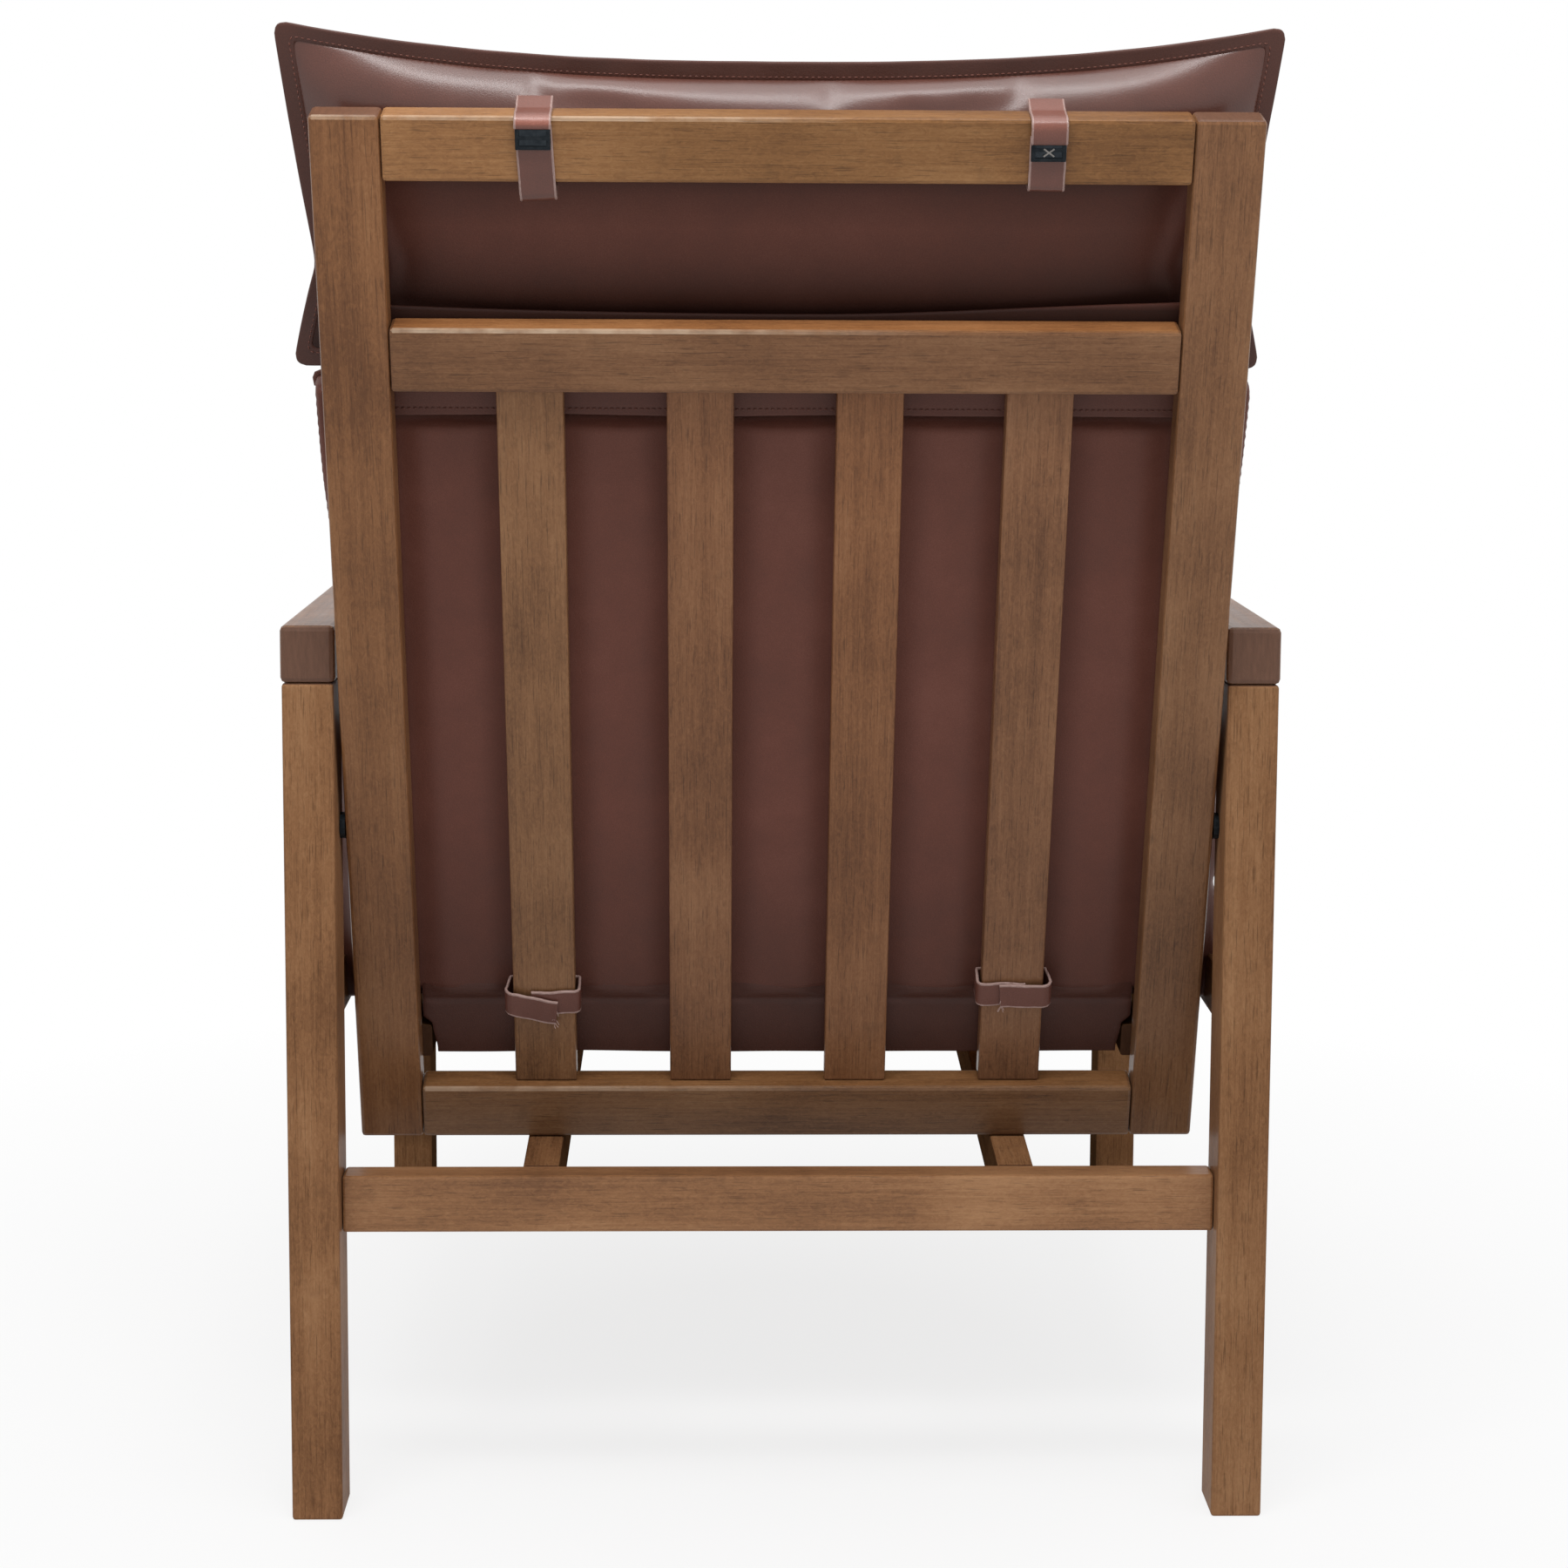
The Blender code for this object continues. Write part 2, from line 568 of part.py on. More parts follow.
def seat_frame(chair, back, seat, stiles, front_rail, wood, steel):
    """Side rails from the stiles to the front rail, the seat slats and their screws."""
    up = (0.0, SEAT_RAIL_HEIGHT)
    front = (SEAT_RAIL_FRONT - BACK_SETBACK) / math.cos(SEAT_TILT_ANGLE)
    rails = {}
    for side, sign in SIDES:
        space = mirrored(((SEAT_RAIL_INNER, SEAT_RAIL_OUTER), (-CUT_OVERRUN, front), up), sign)
        rails[side] = box(f"seat_side_rail_{side}", space, seat, wood, SEAT_RAIL_EDGE)
        stile_space = mirrored(((STILE_INNER - CUT_OVERRUN, BACK_HALF + CUT_OVERRUN),
                                (-CUT_OVERRUN, BACK_THICKNESS), (0.0, BACK_LENGTH)), sign)
        trim(rails[side], stile_space, back, f"stile_face_{side}")

    first = (SEAT_SLATS_START - BACK_SETBACK) / math.cos(SEAT_TILT_ANGLE)
    last = (SEAT_SLATS_END - BACK_SETBACK) / math.cos(SEAT_TILT_ANGLE) - SEAT_SLAT_WIDTH
    pitch = (last - first) / (SEAT_SLAT_COUNT - 1)
    slat_up = (SEAT_RAIL_HEIGHT - SEAT_SLAT_THICKNESS, SEAT_RAIL_HEIGHT)
    span = (-SEAT_RAIL_INNER + GAP, SEAT_RAIL_INNER - GAP)
    inset = (SEAT_SLAT_THICKNESS - SEAT_SLAT_TENON_THICKNESS) / 2
    for index in range(SEAT_SLAT_COUNT):
        rear = first + index * pitch
        space = (span, (rear, rear + SEAT_SLAT_WIDTH), slat_up)
        slat = box(f"seat_slat_{index + 1}", space, seat, wood, SLAT_EDGE)
        tenon(slat, grow(space, TENON_DEPTH, -TENON_SHOULDER, -inset), seat, rails.values())

    rise = (SEAT_RAIL_DROP + SEAT_RAIL_HEIGHT / 2) / math.cos(BACK_RECLINE_ANGLE)
    tenon_end = BACK_THICKNESS / 2 * math.cos(BACK_RECLINE_ANGLE) - rise * math.sin(BACK_RECLINE_ANGLE)
    for side, sign in SIDES:
        middle = (STILE_INNER + SEAT_RAIL_OUTER) / 2
        half = BACK_TENON_THICKNESS / 2
        core = mirrored(((middle - half, middle + half), (tenon_end, front / 2),
                         (TENON_SHOULDER, SEAT_RAIL_HEIGHT - TENON_SHOULDER)), sign)
        tenon(rails[side], core, seat, (stiles[side],))

    along = ((FRONT_RAIL_REAR + FRONT_RAIL_FRONT) / 2 - BACK_SETBACK) / math.cos(SEAT_TILT_ANGLE)
    head = SEAT_RAIL_HEIGHT - SCREW_HEAD_DEPTH
    neck = head - SCREW_HEAD_LENGTH
    end = head - SCREW_REACH
    profile = [(0.0, head), (SCREW_HEAD_RADIUS, head), (SCREW_HEAD_RADIUS, neck),
               (SCREW_RADIUS, neck), (SCREW_RADIUS, end), (0.0, end)]
    wide = SCREW_HEAD_RADIUS + GAP
    thin = SCREW_RADIUS + GAP
    above = SEAT_RAIL_HEIGHT + CUT_OVERRUN
    hole = [(0.0, above), (wide, above), (wide, neck - GAP),
            (thin, neck - GAP), (thin, end - GAP), (0.0, end - GAP)]
    for side, sign in SIDES:
        place = (sign * (SEAT_RAIL_OUTER - SCREW_EDGE_DISTANCE), -along, 0.0)
        turned(f"seat_frame_screw_{side}", profile, seat, steel, place)
        cutter = turned(f"seat_frame_screw_hole_{side}", hole, seat, None, place)
        boolean(rails[side], cutter)
        boolean(front_rail, cutter)
    return rails


def back_bolts(chair, legs, stiles, steel, brass, iron):
    """Bolts through the rear legs into inserts in the stiles, with a spacer in each gap."""
    place = (0.0, -BOLT_FORWARD, BOLT_HEIGHT)
    head = LEG_OUTER - BOLT_HEAD_DEPTH
    neck = head - BOLT_HEAD_LENGTH
    insert_outer = BACK_HALF - INSERT_INSET
    insert_inner = insert_outer - INSERT_LENGTH
    end = insert_inner + BOLT_END_MARGIN
    bore = BOLT_RADIUS + GAP
    bolt = [(0.0, head), (BOLT_HEAD_RADIUS, head), (BOLT_HEAD_RADIUS, neck),
            (BOLT_RADIUS, neck), (BOLT_RADIUS, end), (0.0, end)]
    spacer = [(bore, LEG_INNER - GAP), (SPACER_RADIUS, LEG_INNER - GAP),
              (SPACER_RADIUS, BACK_HALF + GAP), (bore, BACK_HALF + GAP)]
    insert = [(bore, insert_outer), (INSERT_RADIUS, insert_outer),
              (INSERT_RADIUS, insert_inner), (bore, insert_inner)]
    recess = BOLT_HEAD_RADIUS + GAP
    outside = LEG_OUTER + CUT_OVERRUN
    between = (LEG_INNER + BACK_HALF) / 2
    leg_hole = [(0.0, outside), (recess, outside), (recess, neck - GAP),
                (bore, neck - GAP), (bore, between), (0.0, between)]
    bottom = insert_inner - GAP
    socket = INSERT_RADIUS + GAP
    stile_hole = [(0.0, between), (socket, between), (socket, bottom), (0.0, bottom)]
    for side, sign in SIDES:
        turned(f"back_bolt_{side}", bolt, chair, steel, place, sign)
        turned(f"back_bolt_spacer_{side}", spacer, chair, iron, place, sign, closed=True)
        turned(f"back_bolt_insert_{side}", insert, chair, brass, place, sign, closed=True)
        boolean(legs["rear", side],
                turned(f"back_bolt_leg_hole_{side}", leg_hole, chair, None, place, sign))
        boolean(stiles[side],
                turned(f"back_bolt_stile_hole_{side}", stile_hole, chair, None, place, sign))


def back_cushion(back, leather):
    """The stuffed back cushion, narrower between the arms, with its flap and hem."""
    middle = (BACK_CUSHION_BOTTOM + BACK_CUSHION_TOP) / 2
    half_height = (BACK_CUSHION_TOP - BACK_CUSHION_BOTTOM) / 2
    arm_up = (ARM_TOP - BACK_FOOT_UP) / math.cos(BACK_RECLINE_ANGLE)
    rear = BACK_THICKNESS + CUSHION_REAR_GAP
    centre = rear + BACK_CUSHION_REAR_CROWN + BACK_CUSHION_BODY / 2

    def half_width(along):
        up = middle + along * half_height
        free = min(1.0, max(0.0, (up - arm_up) / ARM_CLEAR_BAND))
        ease = free * free * (3.0 - 2.0 * free)
        return BACK_CUSHION_ARM_HALF + (BACK_CUSHION_HALF - BACK_CUSHION_ARM_HALF) * ease

    form = crowned_form(half_width, half_height, BACK_CUSHION_REAR_CROWN, BACK_CUSHION_BODY,
                        BACK_CUSHION_FRONT_CROWN, BACK_CUSHION_DRAW_IN, CROWN_POWER_SHARES["back"])
    piece = cushion("back_cushion", 9, 8, CUSHION_LEVEL_SHARES, form, back, leather)
    piece.location = (0.0, -centre, middle)

    layer = (BACK_THICKNESS + GAP, BACK_THICKNESS + GAP + LEATHER_THICKNESS)
    flap = box("back_cushion_flap", ((-FLAP_HALF_WIDTH, FLAP_HALF_WIDTH), layer,
                                     (FLAP_BOTTOM, FLAP_TOP)), back, leather)
    raise_corners(flap, FLAP_CORNER_RISE)
    box("back_cushion_hem", ((-HEM_HALF_WIDTH, HEM_HALF_WIDTH), layer, (HEM_BOTTOM, HEM_TOP)),
        back, leather)


def raise_corners(flap, rise):
    """Give a flat sheet a top edge that climbs towards its two ends."""
    shape = bmesh.new()
    shape.from_mesh(flap.data)
    level = [edge for edge in shape.edges
             if abs(edge.verts[0].co.x - edge.verts[1].co.x) > rise]
    bmesh.ops.subdivide_edges(shape, edges=level, cuts=7, use_grid_fill=True)
    half = max(vertex.co.x for vertex in shape.verts)
    for vertex in shape.verts:
        if vertex.co.z > 0.0:
            vertex.co.z += rise * (vertex.co.x / half) ** 2
    shape.to_mesh(flap.data)
    shape.free()


def head_pillow(back, leather):
    piece = cushion("head_pillow", 11, 6, PILLOW_LEVEL_SHARES, pillow_form, back, leather)
    rear = BACK_THICKNESS + GAP + LEATHER_THICKNESS + CUSHION_REAR_GAP
    centre = rear + PILLOW_REAR_CROWN * PILLOW_SMOOTHED_SHARE + PILLOW_FLANGE_THICKNESS / 2
    piece.location = (0.0, -centre, PILLOW_BOTTOM + PILLOW_HEIGHT / 2)
    piece.rotation_euler = (-PILLOW_LEAN_ANGLE, 0.0, 0.0)


def seat_cushion(seat, leather):
    """The loose seat cushion, which lies on the seat slats and lifts off."""
    rear = (SEAT_CUSHION_REAR - BACK_SETBACK) / math.cos(SEAT_TILT_ANGLE)
    front = (SEAT_CUSHION_FRONT - BACK_SETBACK) / math.cos(SEAT_TILT_ANGLE)
    form = crowned_form(lambda along: SEAT_CUSHION_HALF, (front - rear) / 2,
                        SEAT_CUSHION_LOWER_CROWN, SEAT_CUSHION_BODY, SEAT_CUSHION_UPPER_CROWN,
                        SEAT_CUSHION_DRAW_IN, CROWN_POWER_SHARES["seat"])
    piece = cushion("seat_cushion", 9, 8, CUSHION_LEVEL_SHARES, form, seat, leather)
    lift = SEAT_RAIL_HEIGHT + GAP + SEAT_CUSHION_LOWER_CROWN + SEAT_CUSHION_BODY / 2
    piece.location = (0.0, -(rear + front) / 2, lift)
    piece.rotation_euler = (math.radians(-90.0), 0.0, 0.0)


def head_straps(back, leather, iron):
    """Two straps round the top rail, each a tab from above, a buckle and a tail below."""
    rail_top = BACK_LENGTH
    rail_bottom = BACK_LENGTH - TOP_RAIL_HEIGHT
    near = GAP + STRAP_THICKNESS / 2
    over = rail_top + near
    for side, sign in SIDES:
        middle = sign * (PILLOW_HALF - HEAD_STRAP_INSETS[side])
        width = (HEAD_STRAP_WIDTH, 0.0, 0.0)
        path = [(BACK_THICKNESS * STRAP_START_SHARE, over + TAB_RISE),
                (BACK_THICKNESS * STRAP_ON_RAIL_SHARE, over)]
        path += arc((TAB_BEND - TAB_STAND_OFF, over - TAB_BEND), TAB_BEND, 90.0, 180.0)
        path += [(-TAB_STAND_OFF, rail_top - TAB_DROP[side])]
        ribbon(f"head_strap_{side}", [(middle, -forward, up) for forward, up in path],
               width, STRAP_THICKNESS, back, leather)

        slack = TAIL_SLACK[side]
        bend = TAIL_BEND[side]
        path = [(-near, rail_top - TAB_DROP[side] + BUCKLE_OVERLAP)]
        path += arc((bend - near, rail_bottom - slack), bend, 180.0, 270.0)
        path += [(BACK_THICKNESS * TAIL_END_SHARE, rail_bottom - near - slack / 2)]
        ribbon(f"head_strap_tail_{side}", [(middle, -forward, up) for forward, up in path],
               width, STRAP_THICKNESS, back, leather)

        top = rail_top - TAB_DROP[side] + BUCKLE_OVERLAP
        back_of_tail = -(2 * GAP + STRAP_THICKNESS)
        space = ((middle - BUCKLE_WIDTH / 2, middle + BUCKLE_WIDTH / 2),
                 (back_of_tail - BUCKLE_THICKNESS, back_of_tail), (top - BUCKLE_HEIGHT, top))
        buckle = box(f"buckle_{side}", space, back, iron, BUCKLE_EDGE)
        window = grow(space, -BUCKLE_BORDER, CUT_OVERRUN, -BUCKLE_BORDER)
        bar_half = BUCKLE_BORDER / 2
        centre = (window[2][0] + window[2][1]) / 2
        for part, up in (("upper", (centre + bar_half, window[2][1])),
                         ("lower", (window[2][0], centre - bar_half))):
            boolean(buckle, box(f"buckle_{part}_window_{side}", (window[0], window[1], up), back))


def slat_loops(back, leather):
    """A strap wound once round each outer slat, its end lapped over its start."""
    rear = BACK_THICKNESS - SLAT_THICKNESS
    off = LOOP_STAND_OFF + LOOP_THICKNESS / 2
    lap = LOOP_THICKNESS + LOOP_STAND_OFF
    for side, sign in SIDES:
        middle = sign * (SLAT_COUNT - 1) / 2 * SLAT_PITCH
        half = SLAT_WIDTH / 2
        outer = off + lap
        path = [(half - LOOP_OVERLAP, rear - off)]
        path += arc((half, rear), off, 270.0, 360.0)
        path += arc((half, BACK_THICKNESS), off, 0.0, 90.0)
        path += arc((-half, BACK_THICKNESS), off, 90.0, 180.0)
        path += arc((-half, rear), outer, 180.0, 270.0)
        path += [(-half + LOOP_OVERLAP, rear - outer)]
        height = LOOP_STRAP_HEIGHTS[side]
        ribbon(f"slat_loop_{side}",
               [(middle - sign * across, -forward, height) for across, forward in path],
               (0.0, 0.0, LOOP_STRAP_WIDTH), LOOP_THICKNESS, back, leather)


def main():
    clear_scene()
    wood = principled("oiled_hardwood", (0.23, 0.12, 0.06), 0.45)
    leather = principled("brown_leather", (0.11, 0.045, 0.038), 0.5)
    iron = principled("black_iron", (0.013, 0.016, 0.018), 0.4, 1.0)
    steel = principled("zinc_plated_steel", (0.55, 0.55, 0.56), 0.35, 1.0)
    brass = principled("brass", (0.60, 0.42, 0.16), 0.3, 1.0)

    chair = datum("chair_datum", -REAR_Y, 0.0)
    bars = datum("bar_datum", REAR_RAIL_FRONT, REAR_RAIL_TOP, SEAT_TILT_ANGLE, chair)
    back = datum("back_datum", BACK_SETBACK, BACK_FOOT_UP, BACK_RECLINE_ANGLE, chair)
    seat = datum("seat_datum", BACK_SETBACK, SEAT_DATUM_UP, SEAT_TILT_ANGLE, chair)

    legs = side_frames(chair, wood)
    rails = low_rails(chair, bars, legs, wood)
    stiles = back_frame(back, wood)
    seat_frame(chair, back, seat, stiles, rails[1], wood, steel)
    back_bolts(chair, legs, stiles, steel, brass, iron)
    back_cushion(back, leather)
    head_pillow(back, leather)
    seat_cushion(seat, leather)
    head_straps(back, leather, iron)
    slat_loops(back, leather)


main()
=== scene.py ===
import math
import random

import bmesh
import bpy
from mathutils import Matrix, Vector, noise


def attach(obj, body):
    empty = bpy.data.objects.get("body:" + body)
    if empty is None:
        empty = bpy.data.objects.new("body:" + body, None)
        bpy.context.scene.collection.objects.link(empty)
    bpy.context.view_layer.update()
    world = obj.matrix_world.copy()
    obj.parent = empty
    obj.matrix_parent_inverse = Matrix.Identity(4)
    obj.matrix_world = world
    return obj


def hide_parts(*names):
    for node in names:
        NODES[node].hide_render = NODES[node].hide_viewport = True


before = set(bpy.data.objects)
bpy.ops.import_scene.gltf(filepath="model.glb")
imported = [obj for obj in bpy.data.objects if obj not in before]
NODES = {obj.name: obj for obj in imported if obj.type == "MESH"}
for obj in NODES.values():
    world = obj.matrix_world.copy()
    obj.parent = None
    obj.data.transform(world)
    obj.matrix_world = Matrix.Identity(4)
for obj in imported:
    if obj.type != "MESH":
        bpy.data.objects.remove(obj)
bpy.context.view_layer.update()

bl_info = {
    "name": "Leather lounge chair",
    "version": (1, 0, 0),
    "blender": (4, 5, 0),
    "location": "View3D > Sidebar > Chair",
    "description": "Dresses a slatted lounge chair with oiled wood, leather cushions and straps",
    "category": "Object",
}

# Where the leaning frames stand: distances forward of the rear legs, and heights
REAR_Y = 0.280452
BACK_RECLINE = math.radians(17.36)
BACK_FOOT = (0.0952, 0.238598)
SEAT_TILT = math.radians(3.3)
SEAT_FOOT = (0.0952, 0.294098)

# The back frame and what lies on it, counted across, forward and up along the lean
FRAME_FRONT = 0.024
SLAT_REAR = 0.009
SLAT_HALF = 0.02125
SLAT_PITCH = 0.1077
STILE_INNER = 0.248
BOTTOM_RAIL_TOP = 0.040
HEAD_RAIL = (0.552, 0.594)
TOP_RAIL = (0.688, 0.729)
LEATHER = 0.0022
REST_GAP = 0.0008
SEAT_SLAT_TOP = 0.024


def leaning(foot, angle):
    """A matrix from a leaning frame's own space (across, forward, up) to the world."""
    forward, height = foot
    return Matrix(((1.0, 0.0, 0.0, 0.0),
                   (0.0, -math.cos(angle), math.sin(angle), REAR_Y - forward),
                   (0.0, math.sin(angle), math.cos(angle), height),
                   (0.0, 0.0, 0.0, 1.0)))


def rising(foot, angle):
    """The same for the seat frame, whose space is (across, up, forward along the seat)."""
    forward, height = foot
    return Matrix(((1.0, 0.0, 0.0, 0.0),
                   (0.0, math.sin(angle), -math.cos(angle), REAR_Y - forward),
                   (0.0, math.cos(angle), math.sin(angle), height),
                   (0.0, 0.0, 0.0, 1.0)))


BACK = leaning(BACK_FOOT, BACK_RECLINE)
SEAT = rising(SEAT_FOOT, SEAT_TILT)

# Turns that bring a board's grain to the vertical
UPRIGHT = (0.0, 0.0, 0.0)
RECLINED = (BACK_RECLINE, 0.0, 0.0)
SIDEWAYS = (0.0, math.radians(-90.0), 0.0)
FOREWARD = (math.radians(90.0), 0.0, 0.0)
SLOPING = (math.radians(90.0) + SEAT_TILT, 0.0, 0.0)


# Materials

WHITE = (1.0, 1.0, 1.0, 1.0)


def arithmetic(operation, swapped=False):
    """A Python operator that adds a Math node."""
    def act(self, other):
        pair = (other, self) if swapped else (self, other)
        return self.recipe.node("ShaderNodeMath", {"operation": operation}, dict(enumerate(pair)))
    return act


class Socket:
    """An output of a shader node; arithmetic on it adds Math nodes to its recipe."""

    def __init__(self, recipe, out):
        self.recipe = recipe
        self.out = out

    __add__, __radd__ = arithmetic("ADD"), arithmetic("ADD", True)
    __sub__, __mul__ = arithmetic("SUBTRACT"), arithmetic("MULTIPLY")

    def __abs__(self):
        return self.recipe.node("ShaderNodeMath", {"operation": "ABSOLUTE"}, {0: self})


class Wiring:
    """A node tree, built node by node."""

    def __init__(self, tree):
        self.tree = tree
        self.tree.nodes.clear()

    def feed(self, socket, value):
        if isinstance(value, Socket):
            self.tree.links.new(value.out, socket)
        else:
            socket.default_value = value

    def node(self, kind, settings=None, inputs=None, output=0):
        made = self.tree.nodes.new(kind)
        for key, value in (settings or {}).items():
            if key == "stops":
                ramp = made.color_ramp.elements
                while len(ramp) < len(value):
                    ramp.new(0.5)
                for stop, (place, colour) in zip(ramp, value):
                    stop.position = place
                    stop.color = colour
            else:
                setattr(made, key, value)
        for key, value in (inputs or {}).items():
            self.feed(made.inputs[key], value)
        return Socket(self, made.outputs[output]) if made.outputs else made

    def direct(self):
        """1 for the rays that see a thing, and 0 for those that only carry its light."""
        seen = 0.0
        for ray in ("Is Camera Ray", "Is Glossy Ray", "Is Transmission Ray"):
            seen = self.node("ShaderNodeMath", {"operation": "MAXIMUM"},
                             {0: self.node("ShaderNodeLightPath", output=ray), 1: seen})
        return seen


class Recipe(Wiring):
    """One material, built round a Principled shader."""

    def __init__(self, name, **constants):
        self.material = bpy.data.materials.new(name)
        self.material.use_nodes = True
        super().__init__(self.material.node_tree)
        self.shader = self.tree.nodes.new("ShaderNodeBsdfPrincipled")
        for key, value in constants.items():
            self.shader.inputs[key.replace("_", " ")].default_value = value
        self.body = Socket(self, self.shader.outputs["BSDF"])
        self.surface = self.node("ShaderNodeOutputMaterial", {}, {"Surface": self.body})

    def place(self, turn=(0.0, 0.0, 0.0), shift=(0.0, 0.0, 0.0)):
        """Object coordinates, turned and then shifted."""
        here = self.node("ShaderNodeTexCoord", output="Object")
        return self.node("ShaderNodeMapping", {}, {"Vector": here, "Rotation": turn,
                                                   "Location": shift})

    def part(self, vector, axis):
        return self.node("ShaderNodeSeparateXYZ", {}, {0: vector}, output=axis)

    def stretched(self, vector, scale):
        return self.node("ShaderNodeVectorMath", {"operation": "MULTIPLY"},
                         {0: vector, 1: scale})

    def clouds(self, vector, scale, detail=2.0, roughness=0.5, distortion=0.0):
        return self.node("ShaderNodeTexNoise", {}, {"Vector": vector, "Scale": scale,
                         "Detail": detail, "Roughness": roughness, "Distortion": distortion})

    def grain(self, board, stretch, *detail):
        return self.clouds(self.stretched(board, (1.0, 1.0, stretch)), *detail)

    def gradient(self, value, stops):
        """A colour ramp through (place, colour) stops."""
        return self.node("ShaderNodeValToRGB", {"stops": stops}, {0: value})

    def ramp(self, value, stops):
        """A grey ramp through (place, brightness) stops."""
        return self.gradient(value, [(place, (level, level, level, 1.0))
                                     for place, level in stops])

    def mask(self, value, none, full):
        """0 up to one value, and 1 from another on."""
        return self.ramp(value, [(none, 0.0), (full, 1.0)])

    def between(self, value, low, high, stops):
        """A grey ramp whose places run from one value to another."""
        return self.ramp((value - low) * (1.0 / (high - low)), stops)

    def blend(self, factor, first, second):
        return self.node("ShaderNodeMix", {"data_type": "RGBA", "blend_type": "MIX"},
                         {0: factor, 6: first, 7: second}, output=2)

    def toned(self, colour, value, saturation=1.0, hue=0.5):
        return self.node("ShaderNodeHueSaturation", {}, {
            "Hue": hue, "Saturation": saturation, "Value": value, "Color": colour})

    def relief(self, height, distance, strength):
        bump = self.node("ShaderNodeBump", {}, {"Height": height, "Distance": distance,
                                                "Strength": strength}, output="Normal")
        self.feed(self.shader.inputs["Normal"], bump)

    def glow(self, factor):
        """Mix in plain white light by a factor."""
        white = self.node("ShaderNodeEmission", {}, {"Color": WHITE})
        lit = self.node("ShaderNodeMixShader", {}, {0: factor, 1: self.body, 2: white})
        self.feed(self.surface.inputs["Surface"], lit)

    def paint(self, colour, roughness):
        self.feed(self.shader.inputs["Base Color"], colour)
        self.feed(self.shader.inputs["Roughness"], roughness)


def solid(colour):
    return (colour[0], colour[1], colour[2], 1.0)


def varied(value, *parts):
    """A value that textures move up and down; parts are (texture, weight) pairs."""
    for texture, weight in parts:
        value = value + (texture - 0.5) * weight
    return value


def painted_floor_shade(recipe, colour, foot, head, deepest):
    """Painted shade: darken a colour towards the floor, from a height down to a lower one."""
    height = recipe.part(recipe.place(), "Z")
    return recipe.toned(colour, recipe.between(height, foot, head, [(0.0, deepest), (1.0, 1.0)]))


def up_the_back(recipe):
    """A place's height along the leaning back, from its foot."""
    foot = ((REAR_Y - BACK_FOOT[0]) * math.sin(BACK_RECLINE)
            + BACK_FOOT[1] * math.cos(BACK_RECLINE))
    return recipe.part(recipe.place(RECLINED), "Z") - foot


def facing(recipe, way, none, full):
    """A mask for the faces that look a given way: the cosines at which it is 0 and 1."""
    normal = recipe.node("ShaderNodeTexCoord", output="Normal")
    cosine = recipe.node("ShaderNodeVectorMath", {"operation": "DOT_PRODUCT"},
                         {0: normal, 1: tuple(way.normalized())}, output="Value")
    return recipe.mask(cosine, none, full)


def brightened(recipe, colour, mask, gain, saturation=1.0):
    """The same colour lighter, or darker, by a mask."""
    return recipe.blend(mask, colour, recipe.toned(colour, gain, saturation))


# Boards with a painted highlight on their upper rear edge: where across it starts and is full,
# and its strength. The second set has its top face painted lighter, as if lit from above, and its
# gain.
EDGE_HIGHLIGHTS = {"wood_back_top_rail": (-0.04, 0.05, 0.60), "wood_back_head_rail": (-0.10, 0.10, 0.85),
          "wood_back_stile_left": (0.0, 0.01, 0.50), "wood_back_bottom_rail": (-0.05, 0.15, 0.40)}
LIT_TOP_FACES = {"wood_back_head_rail": 1.85, "wood_back_bottom_rail": 1.25}
# The heights between which the left front leg's rear face has painted shade
LEG_SHADE = (0.068, 0.315)


def paint_edge_highlight(recipe, colour, board, name, finish):
    """Paint a highlight on the upper rear edge of a board of the back, and paint its top face
    lighter as if lit from above.
    """
    rear, up = -BACK.col[1].to_3d(), BACK.col[2].to_3d()
    if name in LIT_TOP_FACES:
        # Painted light: the top face lighter, as if lit from above.
        colour = brightened(recipe, colour, facing(recipe, up, 0.90, 0.98), LIT_TOP_FACES[name], 1.08)
    start, full, strength = EDGE_HIGHLIGHTS[name]
    share = recipe.between(recipe.part(recipe.place(), "X"), start, full,
                           [(0.0, 0.0), (1.0, strength)])
    spots = recipe.ramp(recipe.clouds(board, 45.0, 3.0, 0.6), [(0.35, 0.35), (0.60, 1.0)])
    # The painted highlight: on faces turned up and to the rear, across the board and in spots.
    edge = facing(recipe, rear + up, 0.82, 0.95) * share * spots
    return recipe.blend(edge, colour, solid(finish.edge_highlight))


def shaded_inside(recipe, colour, name):
    """Paint shade on the inner faces under the seat, and on the left front leg's rear face."""
    inward = Vector((-1.0 if name.endswith("left") else 1.0, 0.0, 0.0))
    if name.endswith(("left", "right")):
        colour = brightened(recipe, colour, facing(recipe, inward, 0.50, 0.90), 0.42)
    if name == "wood_front_leg_left":
        mask = recipe.between(recipe.part(recipe.place(), "Z"), *LEG_SHADE,
                              [(0.0, 0.0), (0.10, 1.0), (0.60, 1.0), (1.0, 0.0)])
        rear = facing(recipe, Vector((0.0, 1.0, 0.0)), 0.50, 0.90)
        colour = brightened(recipe, colour, mask * rear, 0.48)
    return colour


# The textures of wood: share of the scale along the grain, scale, detail, roughness, distortion
GRAIN = {"figure": (0.10, 26.0, 3.0, 0.55, 0.6), "streaks": (0.030, 150.0, 3.0, 0.6, 0.2),
         "fibres": (0.022, 640.0, 2.0, 0.7), "pores": (0.045, 1150.0, 1.0, 0.5),
         "curls": (0.45, 330.0, 4.0, 0.72, 1.6)}
# The layer of oil: strength of the coat and of the bare reflection
POLISHED, WORN, DULL = (0.18, 0.12), (0.02, 0.02), (0.0, 0.0)


